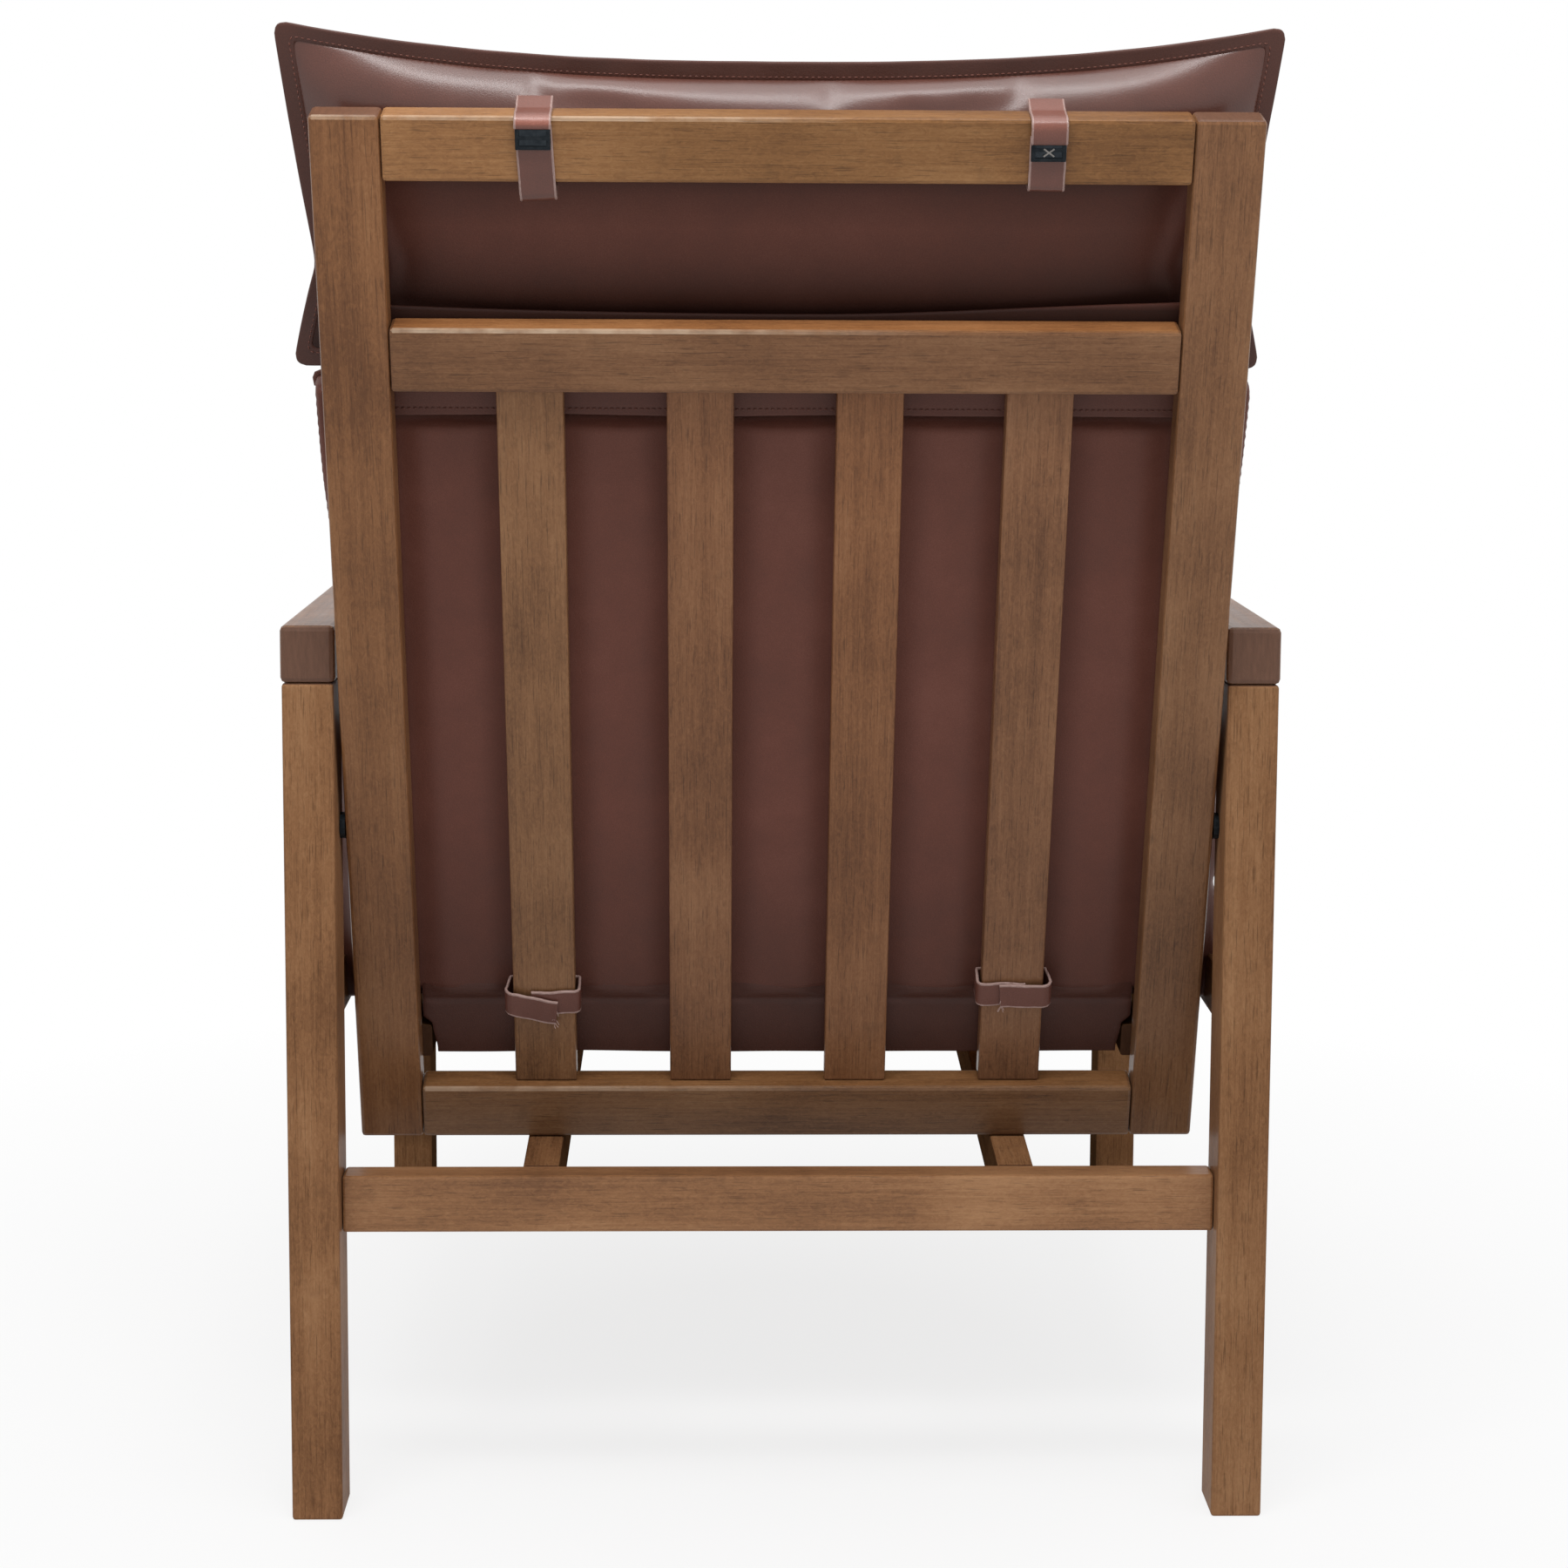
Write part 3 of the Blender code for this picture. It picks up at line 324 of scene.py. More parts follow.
def timber(name, turn, shift, tone, finish):
    """Oiled hardwood, its grain along the piece, with pores, soft figure and dark ends.

    turn brings the grain's direction to the vertical; shift moves to another board.
    """
    polished = not any(part in name for part in ("leg", "bar", "stretcher", "seat"))
    dull = any(part in name for part in ("front_leg", "bar", "seat"))
    coat, specular = POLISHED if polished else DULL if dull else WORN
    recipe = Recipe(name, Coat_Weight=coat, Coat_Roughness=0.22, Specular_IOR_Level=specular)
    board = recipe.place(turn, shift)
    figure, streaks, fibres, pores, curls = (recipe.grain(board, *facts)
                                             for facts in GRAIN.values())
    patches = recipe.clouds(board, 9.0, 2.0, 0.5)
    smudges = recipe.clouds(board, 55.0, 3.0, 0.65)

    shade = varied(0.5, (figure, 0.55), (streaks, 0.32), (fibres, 0.42), (patches, 0.80),
                   (curls, 0.68))
    body = recipe.gradient(shade, [(0.22, solid(finish.wood_dark)),
                                   (0.50, solid(finish.wood_middle)),
                                   (0.82, solid(finish.wood_light))])
    pore_mask = recipe.mask(pores, 0.60, 0.72)
    for stain in (pore_mask * 0.42, recipe.mask(smudges, 0.58, 0.78) * 0.24):
        body = recipe.blend(stain, body, solid(finish.pore_colour))

    normal = recipe.node("ShaderNodeTexCoord", output="Normal")
    along = recipe.node("ShaderNodeMapping", {"vector_type": "VECTOR"},
                        {"Vector": normal, "Rotation": turn})
    end_mask = recipe.mask(abs(recipe.part(along, "Z")), 0.55, 0.85)
    rings = recipe.clouds(recipe.stretched(board, (1.0, 0.18, 1.0)), 420.0, 3.0, 0.6)
    end_wood = recipe.blend(rings, solid(finish.end_dark), solid(finish.end_light))
    body = recipe.blend(end_mask, body, end_wood)
    body = recipe.toned(body, 1.0 + tone[0], 1.0 + tone[2], 0.5 + tone[1])
    # Painted shade: the leaning boards and the bottom rail darken towards the floor.
    if turn == RECLINED or name == "wood_back_bottom_rail":
        body = painted_floor_shade(recipe, body, 0.22, 0.92, 0.62)
    if name == "wood_back_top_rail":
        golden = recipe.mask(recipe.part(recipe.place(), "X") * 4.0, 0.25, 0.85)
        body = brightened(recipe, body, golden, 1.34, 0.98)
    # Painted highlight on the upper rear edge; some boards also get a top face painted lighter as
    # if lit from above.
    if name in EDGE_HIGHLIGHTS:
        body = paint_edge_highlight(recipe, body, board, name, finish)
    # Painted shade under the seat.
    if dull:
        body = shaded_inside(recipe, body, name)
    recipe.paint(body, varied(0.40, (streaks, 0.16), (smudges, 0.14)))
    recipe.relief(fibres * 0.5 + streaks * 0.5 - pore_mask * 0.7, 0.00022, 0.55)
    return recipe.material


def metal(name, colour, roughness, seed, wear=0.5):
    """Plated or blackened metal with faint scratches and stains."""
    recipe = Recipe(name, Metallic=1.0)
    here = recipe.place(shift=(seed, 0.0, 0.0))
    stains = recipe.clouds(here, 260.0, 4.0, 0.6)
    scratches = recipe.clouds(recipe.stretched(here, (1.0, 0.06, 1.0)), 2600.0, 2.0, 0.5)
    paler = tuple(min(1.0, part * 1.9 + 0.02) for part in colour)
    shade = recipe.mask(stains * 0.7 + scratches * 0.3, 0.38, 0.68)
    recipe.paint(recipe.blend(shade * wear, solid(colour), solid(paler)),
                 varied(roughness, (stains, 0.25)))
    recipe.relief(scratches, 0.00005, 0.4)
    return recipe.material


# Modelling helpers

def pick_nothing():
    if bpy.context.object and bpy.context.object.mode != "OBJECT":
        bpy.ops.object.mode_set(mode="OBJECT")
    bpy.ops.object.select_all(action="DESELECT")


def pick(piece):
    pick_nothing()
    piece.select_set(True)
    bpy.context.view_layer.objects.active = piece


def added(name, operator, location=(0.0, 0.0, 0.0), **settings):
    """A piece made by one of Blender's operators, under its own name."""
    pick_nothing()
    operator(location=location, **settings)
    piece = bpy.context.object
    piece.name = name
    piece.data.name = name
    return piece


def dress(piece, space, material, body="chair", replaced=()):
    """Put a piece modelled in its own space in place, with all that the frame has to know."""
    pick(piece)
    piece.matrix_world = space @ piece.matrix_world
    bpy.context.view_layer.update()
    bpy.ops.object.transform_apply(location=True, rotation=True, scale=True)
    piece.data.materials.clear()
    piece.data.materials.append(material)
    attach(piece, body)
    if replaced:
        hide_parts(*replaced)


def apply_modifiers(piece):
    pick(piece)
    for modifier in list(piece.modifiers):
        bpy.ops.object.modifier_apply(modifier=modifier.name)


def smooth(piece):
    pick(piece)
    bpy.ops.object.shade_smooth_by_angle(angle=math.radians(40.0))


def thicken(piece, thickness, offset, soften=0.0, sharp=30.0):
    """Give a sheet its thickness, and bevel its edges that are sharper than so many degrees."""
    thick = piece.modifiers.new("thickness", "SOLIDIFY")
    thick.thickness = thickness
    thick.offset = offset
    if soften:
        soft = piece.modifiers.new("edge", "BEVEL")
        soft.width = soften
        soft.segments = 2
        soft.limit_method = "ANGLE"
        soft.angle_limit = math.radians(sharp)
    apply_modifiers(piece)
    tidy_normals(piece)
    smooth(piece)


def mesh_piece(name, points, faces):
    mesh = bpy.data.meshes.new(name)
    mesh.from_pydata([tuple(point) for point in points], [], faces)
    mesh.update()
    piece = bpy.data.objects.new(name, mesh)
    bpy.context.scene.collection.objects.link(piece)
    return piece


def tidy_normals(piece):
    pick(piece)
    bpy.ops.object.mode_set(mode="EDIT")
    bpy.ops.mesh.select_all(action="SELECT")
    bpy.ops.mesh.normals_make_consistent(inside=False)
    bpy.ops.object.mode_set(mode="OBJECT")


def joined(pieces, name):
    pick_nothing()
    for piece in pieces:
        piece.select_set(True)
    bpy.context.view_layer.objects.active = pieces[0]
    bpy.ops.object.join()
    bpy.context.object.name = name
    return bpy.context.object


def tube_faces(start, rings, sides, closed=False):
    """The faces of a tube whose points lie ring by ring, with its two ends unless closed."""
    faces = []
    for ring in range(rings if closed else rings - 1):
        here, there = start + ring * sides, start + (ring + 1) % rings * sides
        faces += [(here + side, here + (side + 1) % sides, there + (side + 1) % sides,
                   there + side) for side in range(sides)]
    if not closed:
        last = start + (rings - 1) * sides
        faces += [tuple(range(start, start + sides)), tuple(reversed(range(last, last + sides)))]
    return faces


def swept(name, path, across, profile, closed=False):
    """A bar of a given profile along a path; profile points are (along across, outwards)."""
    count = len(path)
    points = []
    for index, here in enumerate(path):
        before = path[(index - 1) % count] if closed or index else here
        after = path[(index + 1) % count] if closed or index < count - 1 else here
        out = across[index].cross((after - before).normalized()).normalized()
        points += [here + across[index] * side + out * up for side, up in profile]
    piece = mesh_piece(name, points, tube_faces(0, count, len(profile), closed))
    tidy_normals(piece)
    return piece


def round_profile(radius, sides=8):
    return [(radius * math.cos(2 * math.pi * step / sides),
             radius * math.sin(2 * math.pi * step / sides)) for step in range(sides)]


# Soft pieces

def crown(across, along, power):
    """How full a cushion is at a place: 1 in the middle and 0 at its edges."""
    return (1.0 - abs(across) ** power) * (1.0 - abs(along) ** power)


def shell(name, form, grid, levels):
    """A closed soft shell: a fine sheet raised level by level and shaped by a formula."""
    piece = added(name, bpy.ops.mesh.primitive_grid_add, x_subdivisions=grid[0],
                  y_subdivisions=grid[1], size=2.0)
    shape = bmesh.new()
    shape.from_mesh(piece.data)
    bmesh.ops.translate(shape, vec=(0.0, 0.0, levels[0]), verts=shape.verts)
    sheet = list(shape.faces)
    for index, (lower, upper) in enumerate(zip(levels, levels[1:])):
        raised = bmesh.ops.extrude_face_region(shape, geom=sheet, use_keep_orig=index == 0)
        moved = [item for item in raised["geom"] if isinstance(item, bmesh.types.BMVert)]
        bmesh.ops.translate(shape, vec=(0.0, 0.0, upper - lower), verts=moved)
        old = sheet
        sheet = [item for item in raised["geom"] if isinstance(item, bmesh.types.BMFace)]
        if index:
            bmesh.ops.delete(shape, geom=[face for face in old if face.is_valid],
                             context="FACES_ONLY")
    held = [abs(vertex.co.z) < 0.01 for vertex in shape.verts]
    for vertex in shape.verts:
        vertex.co = Vector(form(*vertex.co))
    bmesh.ops.recalc_face_normals(shape, faces=shape.faces)
    shape.to_mesh(piece.data)
    shape.free()
    seam = piece.vertex_groups.new(name="seam")
    seam.add([index for index, inside in enumerate(held) if inside], 1.0, "REPLACE")
    return piece


CLOTH = {"quality": 4, "mass": 0.35, "tension_stiffness": 18.0, "compression_stiffness": 18.0,
         "shear_stiffness": 8.0, "use_pressure": True, "vertex_group_mass": "seam"}


def inflate(piece, facts):
    """Fill a shell as cloth with its seam held, then keep each point near where it was."""
    sizes = bpy.context.scene.chair_sizes
    slack, bending, cap = facts["cloth"]
    pick(piece)
    before = [vertex.co.copy() for vertex in piece.data.vertices]
    cloth = piece.modifiers.new("filling", "CLOTH")
    for key, value in CLOTH.items():
        setattr(cloth.settings, key, value)
    cloth.settings.bending_stiffness = bending
    cloth.settings.uniform_pressure_force = sizes.filling
    cloth.settings.effector_weights.gravity = 0.0
    cloth.settings.shrink_min = cloth.settings.shrink_max = -sizes.slack * slack
    scene = bpy.context.scene
    for spans in (cloth.point_cache, scene):
        spans.frame_start, spans.frame_end = 1, sizes.frames
    for step in range(1, sizes.frames + 1):
        scene.frame_set(step)
    bpy.ops.object.modifier_apply(modifier=cloth.name)
    scene.frame_set(1)
    for vertex, old in zip(piece.data.vertices, before):
        move = vertex.co - old
        if move.length > cap:
            vertex.co = old + move * (cap / move.length)


def fine(piece):
    """Divide each face in four, and smooth them all."""
    piece.modifiers.new("fine", "SUBSURF").levels = 1
    apply_modifiers(piece)
    piece.data.shade_smooth()


def waves(*place):
    """Smooth noise at a place, between -1 and 1."""
    return noise.noise(Vector(place))


def ease(value, start, stop):
    """0 before start, 1 after stop, and a smooth rise between."""
    share = min(1.0, max(0.0, (value - start) / (stop - start)))
    return share * share * (3.0 - 2.0 * share)


def back_allowance(across, up, bulge):
    """How far forward soft leather has to stay of the back frame's rear face, at a place.

    It lies on slats, stiles and rails, and swells a little into the openings.
    """
    side = min(abs(abs(across) - SLAT_PITCH * lane) for lane in (0.5, 1.5)) - SLAT_HALF
    side = min(side, STILE_INNER - abs(across))
    if up > HEAD_RAIL[0]:
        side = STILE_INNER - abs(across)
    end = min(abs(up - HEAD_RAIL[0]), abs(up - BOTTOM_RAIL_TOP))
    if up > HEAD_RAIL[1]:
        end = min(up - HEAD_RAIL[1], TOP_RAIL[0] - up)
    elif up > HEAD_RAIL[0]:
        end = 0.0
    if up > TOP_RAIL[1]:
        side, end = 1.0, up - TOP_RAIL[1]
    room = min(ease(side, 0.0, 0.022), ease(end, 0.0, 0.024))
    return FRAME_FRONT + REST_GAP - bulge * room


def stitches(name, path, outs, pitch, length, radius, lift):
    """A row of thread stitches along a path; outs are the surface's normals on it."""
    points = []
    faces = []
    travelled = 0.0
    following = pitch / 2
    for here, there, out in zip(path, path[1:], outs):
        run = there - here
        step = run.length
        while travelled + step >= following and step > 0.0:
            middle = here + run * ((following - travelled) / step) + out * lift
            along = run.normalized()
            side = along.cross(out).normalized()
            start = len(points)
            for share, width in ((-0.5, 0.45), (-0.2, 1.0), (0.2, 1.0), (0.5, 0.45)):
                rise = radius * (1.0 - abs(share) * 1.4)
                for turn in range(5):
                    angle = 2 * math.pi * turn / 5
                    points.append(middle + along * (length * share)
                                  + side * (radius * width * math.cos(angle))
                                  + out * (rise + radius * width * math.sin(angle) - radius))
            faces += tube_faces(start, 4, 5)
            following += pitch
        travelled += step
    piece = mesh_piece(name, points, faces)
    tidy_normals(piece)
    piece.data.shade_smooth()
    return piece


# What a user would change

def tint(name, description, default):
    return bpy.props.FloatVectorProperty(name=name, description=description, subtype="COLOR",
                                         size=3, default=default, min=0.0, max=1.0)


class ChairFinish(bpy.types.PropertyGroup):
    """Colours of the wood and the leather, in linear light."""
    wood_middle: tint("Wood", "The wood's main brown", (0.253, 0.121, 0.054))
    wood_dark: tint("Dark grain", "The darkest grain of the wood", (0.150, 0.068, 0.031))
    wood_light: tint("Light grain", "The palest grain of the wood", (0.350, 0.183, 0.087))
    pore_colour: tint("Pores", "Stain left in the open pores", (0.050, 0.025, 0.014))
    end_dark: tint("Dark end grain", "Dark rings on sawn ends", (0.105, 0.051, 0.030))
    end_light: tint("Light end grain", "Pale rings on sawn ends", (0.200, 0.100, 0.058))
    hide_base: tint("Leather", "The cushions' main colour", (0.130, 0.045, 0.031))
    hide_dark: tint("Leather shade", "The darkest parts of the leather", (0.066, 0.026, 0.019))
    hide_light: tint("Leather wear", "The palest parts of the leather", (0.210, 0.085, 0.064))
    cut_edge: tint("Cut edge", "Raw edge of cut leather", (0.42, 0.29, 0.26))
    # The colour of the painted highlight on the upper rear edges of the back's rails.
    edge_highlight: tint("Rubbed edge", "Pale rubbed edges of the back's rails", (0.66, 0.50, 0.36))
    buckle_black: tint("Buckle", "Black finish of the buckles", (0.014, 0.017, 0.020))


def number(name, description, default, low, high, **kind):
    return bpy.props.FloatProperty(name=name, description=description, default=default, min=low,
                                   max=high, **kind)


LENGTH = {"subtype": "DISTANCE", "unit": "LENGTH"}


class ChairSizes(bpy.types.PropertyGroup):
    """How full and how finely made the soft pieces are."""
    bulge: number("Bulge", "How far the leather swells between the slats", 0.004, 0.0, 0.008,
                  **LENGTH)
    filling: number("Filling", "Pressure of the cushions' filling", 4.0, 0.0, 10.0)
    slack: number("Slack", "Spare leather in the covers, as a share of their size", 0.02, 0.0,
                  0.1, subtype="FACTOR")
    stitch_pitch: number("Stitch pitch", "Distance from one stitch to the next", 0.0038, 0.002,
                         0.01, **LENGTH)
    frames: bpy.props.IntProperty(
        name="Steps", description="Steps of the filling's simulation", default=20, min=1, max=60)


class StageSettings(bpy.types.PropertyGroup):
    """The camera and the lamps of the studio."""
    lens: number("Lens", "Focal length on a 36 mm sensor", 68.53, 20.0, 200.0,
                 subtype="DISTANCE_CAMERA", unit="CAMERA")
    lamp: number("Lamp", "Power of the main soft lamp", 35.0, 0.0, 500.0, subtype="POWER",
                 unit="POWER")
    sky: number("Room light", "Strength of the even light of the room", 0.38, 0.0, 2.0)


# Wood and metal

# Node name, grain direction, and tone: brightness, hue and strength of colour. A pair of
# tones is for the left board and the right one.
PLAIN = (0.0, 0.0, 0.0)
BOARDS = [(f"{name}_{side}", turn, tone) for name, turn, tones in (
    ("rear_leg", UPRIGHT, ((0.09, 0.0, -0.02), (-0.01, 0.0, -0.02))),
    ("front_leg", UPRIGHT, ((-0.10, 0.0, 0.0),) * 2),
    ("armrest", FOREWARD, ((-0.06, -0.004, -0.05),) * 2),
    ("side_stretcher", FOREWARD, ((-0.12, 0.0, 0.0),) * 2),
) for side, tone in zip(("left", "right"), tones)]
BOARDS += [
    ("rear_rail", SIDEWAYS, (0.14, 0.0, 0.0)),
    ("front_rail", SIDEWAYS, PLAIN),
    ("under_seat_bar_left", SLOPING, (-0.10, 0.0, 0.0)),
    ("under_seat_bar_right", SLOPING, (-0.10, 0.0, 0.0)),
    ("back_stile_left", RECLINED, (0.13, -0.003, 0.04)),
    ("back_stile_right", RECLINED, (0.02, -0.002, 0.0)),
    ("back_top_rail", SIDEWAYS, (0.02, 0.003, 0.06)),
    ("back_head_rail", SIDEWAYS, (-0.18, -0.003, 0.0)),
    ("back_bottom_rail", SIDEWAYS, (0.02, 0.0, -0.03)),
    ("back_slat_1", RECLINED, (0.14, 0.0, 0.0)),
    ("back_slat_2", RECLINED, (0.06, -0.006, 0.02)),
    ("back_slat_3", RECLINED, (0.13, -0.006, 0.04)),
    ("back_slat_4", RECLINED, (0.06, -0.005, 0.0)),
    # The seat side rails are toned far darker: painted shade under the seat.
    ("seat_side_rail_left", SLOPING, (-0.55, 0.0, 0.0)),
    ("seat_side_rail_right", SLOPING, (-0.55, 0.0, 0.0)),
]
BOARDS += [(f"seat_slat_{number}", SIDEWAYS, (bright, 0.0, 0.0))
           for number, bright in enumerate((0.0, 0.05, -0.04, 0.02, -0.06, 0.03), 1)]
BOARDS += [(f"armrest_dowel_{end}_{side}", UPRIGHT, PLAIN)
           for end in ("front", "rear") for side in ("left", "right")]


def repaint(node, material):
    """Give a carried-over node another material, without touching its mesh."""
    piece = NODES[node]
    if not piece.material_slots:
        piece.data.materials.append(material)
    for slot in piece.material_slots:
        slot.material = material


class CHAIR_OT_timber(bpy.types.Operator):
    """Finish each board of the frame with its own run of grain"""
    bl_idname = "chair.timber"
    bl_label = "Finish the wood"

    def execute(self, context):
        finish = context.scene.chair_finish
        boards = random.Random(7)
        for node, turn, tone in BOARDS:
            shift = tuple(boards.uniform(-6.0, 6.0) for _ in range(3))
            repaint(node, timber(f"wood_{node}", turn, shift, tone, finish))
        return {"FINISHED"}


class CHAIR_OT_fasteners(bpy.types.Operator):
    """Finish the bolts, spacers, inserts and screws"""
    bl_idname = "chair.fasteners"
    bl_label = "Finish the fasteners"

    def execute(self, context):
        steel = metal("zinc_steel", (0.50, 0.50, 0.51), 0.34, 1.0, wear=0.35)
        brass = metal("brass", (0.62, 0.43, 0.17), 0.30, 2.0, wear=0.3)
        black = metal("black_iron", tuple(context.scene.chair_finish.buckle_black), 0.36, 3.0)
        for side in ("left", "right"):
            repaint(f"back_bolt_{side}", steel)
            repaint(f"back_bolt_spacer_{side}", black)
            repaint(f"buckle_{side}", black)
            repaint(f"seat_frame_screw_{side}", steel)
            repaint(f"back_bolt_insert_{side}", brass)
        return {"FINISHED"}


# Leather

def leather(name, seed, gloss=0.0, deeper=0.0, raw_edges=False, coat=0.04, specular=0.34,
            shade=None):
    """Smooth leather: fine pebbled grain, slight wear and, on straps, pale cut edges.

    deeper darkens it; shade is a list of (height along the leaning back, brightness) stops that
    paint shade and highlights.
    """
    finish = bpy.context.scene.chair_finish
    base, dark, light = (solid([part * (1.0 - deeper) for part in colour])
                         for colour in (finish.hide_base, finish.hide_dark, finish.hide_light))
    recipe = Recipe(name, Coat_Weight=coat, Coat_Roughness=0.26, Specular_IOR_Level=specular)
    skin = recipe.place(shift=(seed, seed * 0.7, seed * 1.3))
    cells = recipe.node("ShaderNodeTexVoronoi", {"feature": "SMOOTH_F1"},
                        {"Vector": skin, "Scale": 1050.0, "Smoothness": 0.6})
    wrinkles = recipe.clouds(skin, 420.0, 3.0, 0.6, 0.8)
    mottle = recipe.clouds(skin, 34.0, 4.0, 0.62)
    wide = recipe.clouds(skin, 7.0, 2.0, 0.5)
    speckle = recipe.clouds(skin, 1600.0, 1.0, 0.6)
    tone = varied(0.5, (mottle, 0.28), (wide, 0.35), (speckle, 0.35))
    colour = recipe.gradient(tone, [(0.15, dark), (0.52, base), (0.92, light)])
    # Painted shade: the leather darkens towards the floor.
    colour = painted_floor_shade(recipe, colour, 0.26, 0.48, 0.42)
    # Painted shade and painted highlights by height up the back.
    if shade:
        low, high = shade[0][0], shade[-1][0]
        peak = max(value for _, value in shade)
        level = recipe.between(up_the_back(recipe), low, high, [
            ((up - low) / (high - low), value / peak) for up, value in shade])
        colour = recipe.toned(colour, level * peak)
    if raw_edges:
        edge = recipe.node("ShaderNodeAttribute", {"attribute_name": "cut_edge"}, output="Fac")
        colour = recipe.blend(edge, colour, solid(finish.cut_edge))
    recipe.paint(colour, varied(0.47 - gloss, (mottle, 0.20), (wrinkles, 0.10)))
    recipe.relief(cells * 0.6 + wrinkles * 0.6 + mottle * 0.4, 0.00026, 0.40)
    return recipe.material


# grid: columns and rows of the cover; cloth: share of the spare leather, stiffness, farthest move
BACK_CUSHION = {"bottom": 0.085, "top": 0.542, "half": 0.303, "arm_half": 0.290,
                "low_half": 0.3095, "rear": 0.016, "body": 0.050, "front": 0.026, "draw": 0.006,
                "grid": (92, 70), "cloth": (0.4, 4.0, 0.008)}
ARM_UP = (0.610 - BACK_FOOT[1]) / math.cos(BACK_RECLINE)
ARM_BAND = 0.060
ARM_LOW, ARM_LOW_BAND = 0.302, 0.045
PILLOW = {"height": 0.226, "bottom": 0.5495, "rear": 0.030, "front": 0.052,
          "flange": 0.011, "centre": 0.0559, "lean": math.radians(1.5), "aside": 0.004,
          "grid": (118, 42), "cloth": (0.12, 8.0, 0.006)}
PILLOW_HALF = 0.3125
PILLOW_WAIST = (-0.38, 0.0205)
PILLOW_DIP = 0.0245
PILLOW_CORNER = 0.010
SEAT_CUSHION = {"half": 0.287, "rear": 0.168, "front": 0.686, "lower": 0.012, "body": 0.060,
                "upper": 0.034, "draw": 0.008, "lift": 0.0663, "grid": (88, 80),
                "cloth": (0.5, 3.0, 0.008)}
SEAM_PROUD = 0.004
# The levels of a boxed cushion's side, from its lower face to its upper one, and its cord
CUSHION_LEVELS = (-1.0, -0.8, -0.55, -0.28, 0.0, 0.28, 0.55, 0.8, 1.0)
CORD_RADIUS, CORD_SUNK = 0.0026, 0.0004
# Brightness of the leather by height up the back: painted shade in the top opening and on the
# flap just above the head rail, a painted highlight on the flap's lip, and painted highlights on
# the straps where they turn over the top rail
OPENING_SHADE = ((0.594, 0.28), (0.612, 0.48), (0.634, 0.84), (0.650, 1.0), (0.672, 0.76),
                 (0.690, 0.29))
FLAP_SHADE = ((0.545, 0.92), (0.589, 1.0), (0.5925, 0.30), (0.600, 0.34), (0.604, 1.0),
              (0.609, 1.5))
STRAP_SHADE = {"left": ((0.690, 0.90), (0.7240, 1.0), (0.7262, 1.9), (0.7290, 2.1),
                        (0.7315, 1.3), (0.738, 1.15)),
               "right": ((0.690, 0.90), (0.7180, 1.0), (0.7225, 1.25), (0.7290, 1.6),
                         (0.7315, 1.3), (0.738, 1.15))}


def boxed_form(half_width, half_height, rear_crown, body, front_crown, draw_in, powers):
    """A boxed cushion: crowned faces, sides drawn in between the corners, and a mid seam.

    The place comes as (across, forward, up) from the cushion's middle.
    """
    def form(across, along, level):
        side_pull = draw_in * (1.0 - along ** 2)
        end_pull = draw_in * (1.0 - across ** 2)
        full = crown(across, along, powers[level > 0.0])
        round_off = SEAM_PROUD * (1.0 if abs(level) > 0.95 else abs(level) ** 4)
        width = half_width(along) - round_off - side_pull
        height = half_height - round_off - end_pull
        lift = level * body / 2
        if abs(level) == 1.0:
            lift += level * (front_crown if level > 0 else rear_crown) * full
        return (across * width, lift, along * height)
    return form


def seam_ring(piece):
    """The held points of a soft shell in order round it, with the ways they face."""
    mesh = piece.data
    seam = piece.vertex_groups["seam"].index
    held = {vertex.index for vertex in mesh.vertices
            if any(group.group == seam and group.weight > 0.9 for group in vertex.groups)}
    beside = {index: [] for index in held}
    for edge in mesh.edges:
        first, second = edge.vertices
        if first in held and second in held:
            beside[first].append(second)
            beside[second].append(first)
    start = min(held)
    ring = [start]
    came = None
    here = start
    while True:
        onward = [index for index in beside[here] if index != came]
        came, here = here, onward[0]
        if here == start:
            break
        ring.append(here)
    return ([mesh.vertices[index].co.copy() for index in ring],
            [mesh.vertices[index].normal.copy() for index in ring])


def welt(name, piece, radius, sunk):
    """A sewn cord along the seam of a soft shell."""
    points, normals = seam_ring(piece)
    centre = sum(points, Vector()) / len(points)
    path = [point - normal * sunk for point, normal in zip(points, normals)]
    across = []
    count = len(path)
    for index in range(count):
        run = (path[(index + 1) % count] - path[index - 1]).normalized()
        out = normals[index] if normals[index].length else (path[index] - centre).normalized()
        across.append(run.cross(out).normalized())
    return swept(name, path, across, round_profile(radius), closed=True)


def shifted(piece, move):
    for vertex in piece.data.vertices:
        vertex.co += Vector(move)


def sewn(piece, node, seed, space, body):
    """Sew a cord round a boxed cushion, and put both in place with their leather."""
    cord = welt(f"{node}_welt", piece, CORD_RADIUS, CORD_SUNK)
    cover = leather(f"{node}_leather", seed, deeper=-0.05, coat=0.0, specular=0.20)
    for part, replaced in ((piece, (node,)), (cord, ())):
        dress(part, space, cover, body, replaced)
        part.data.shade_smooth()


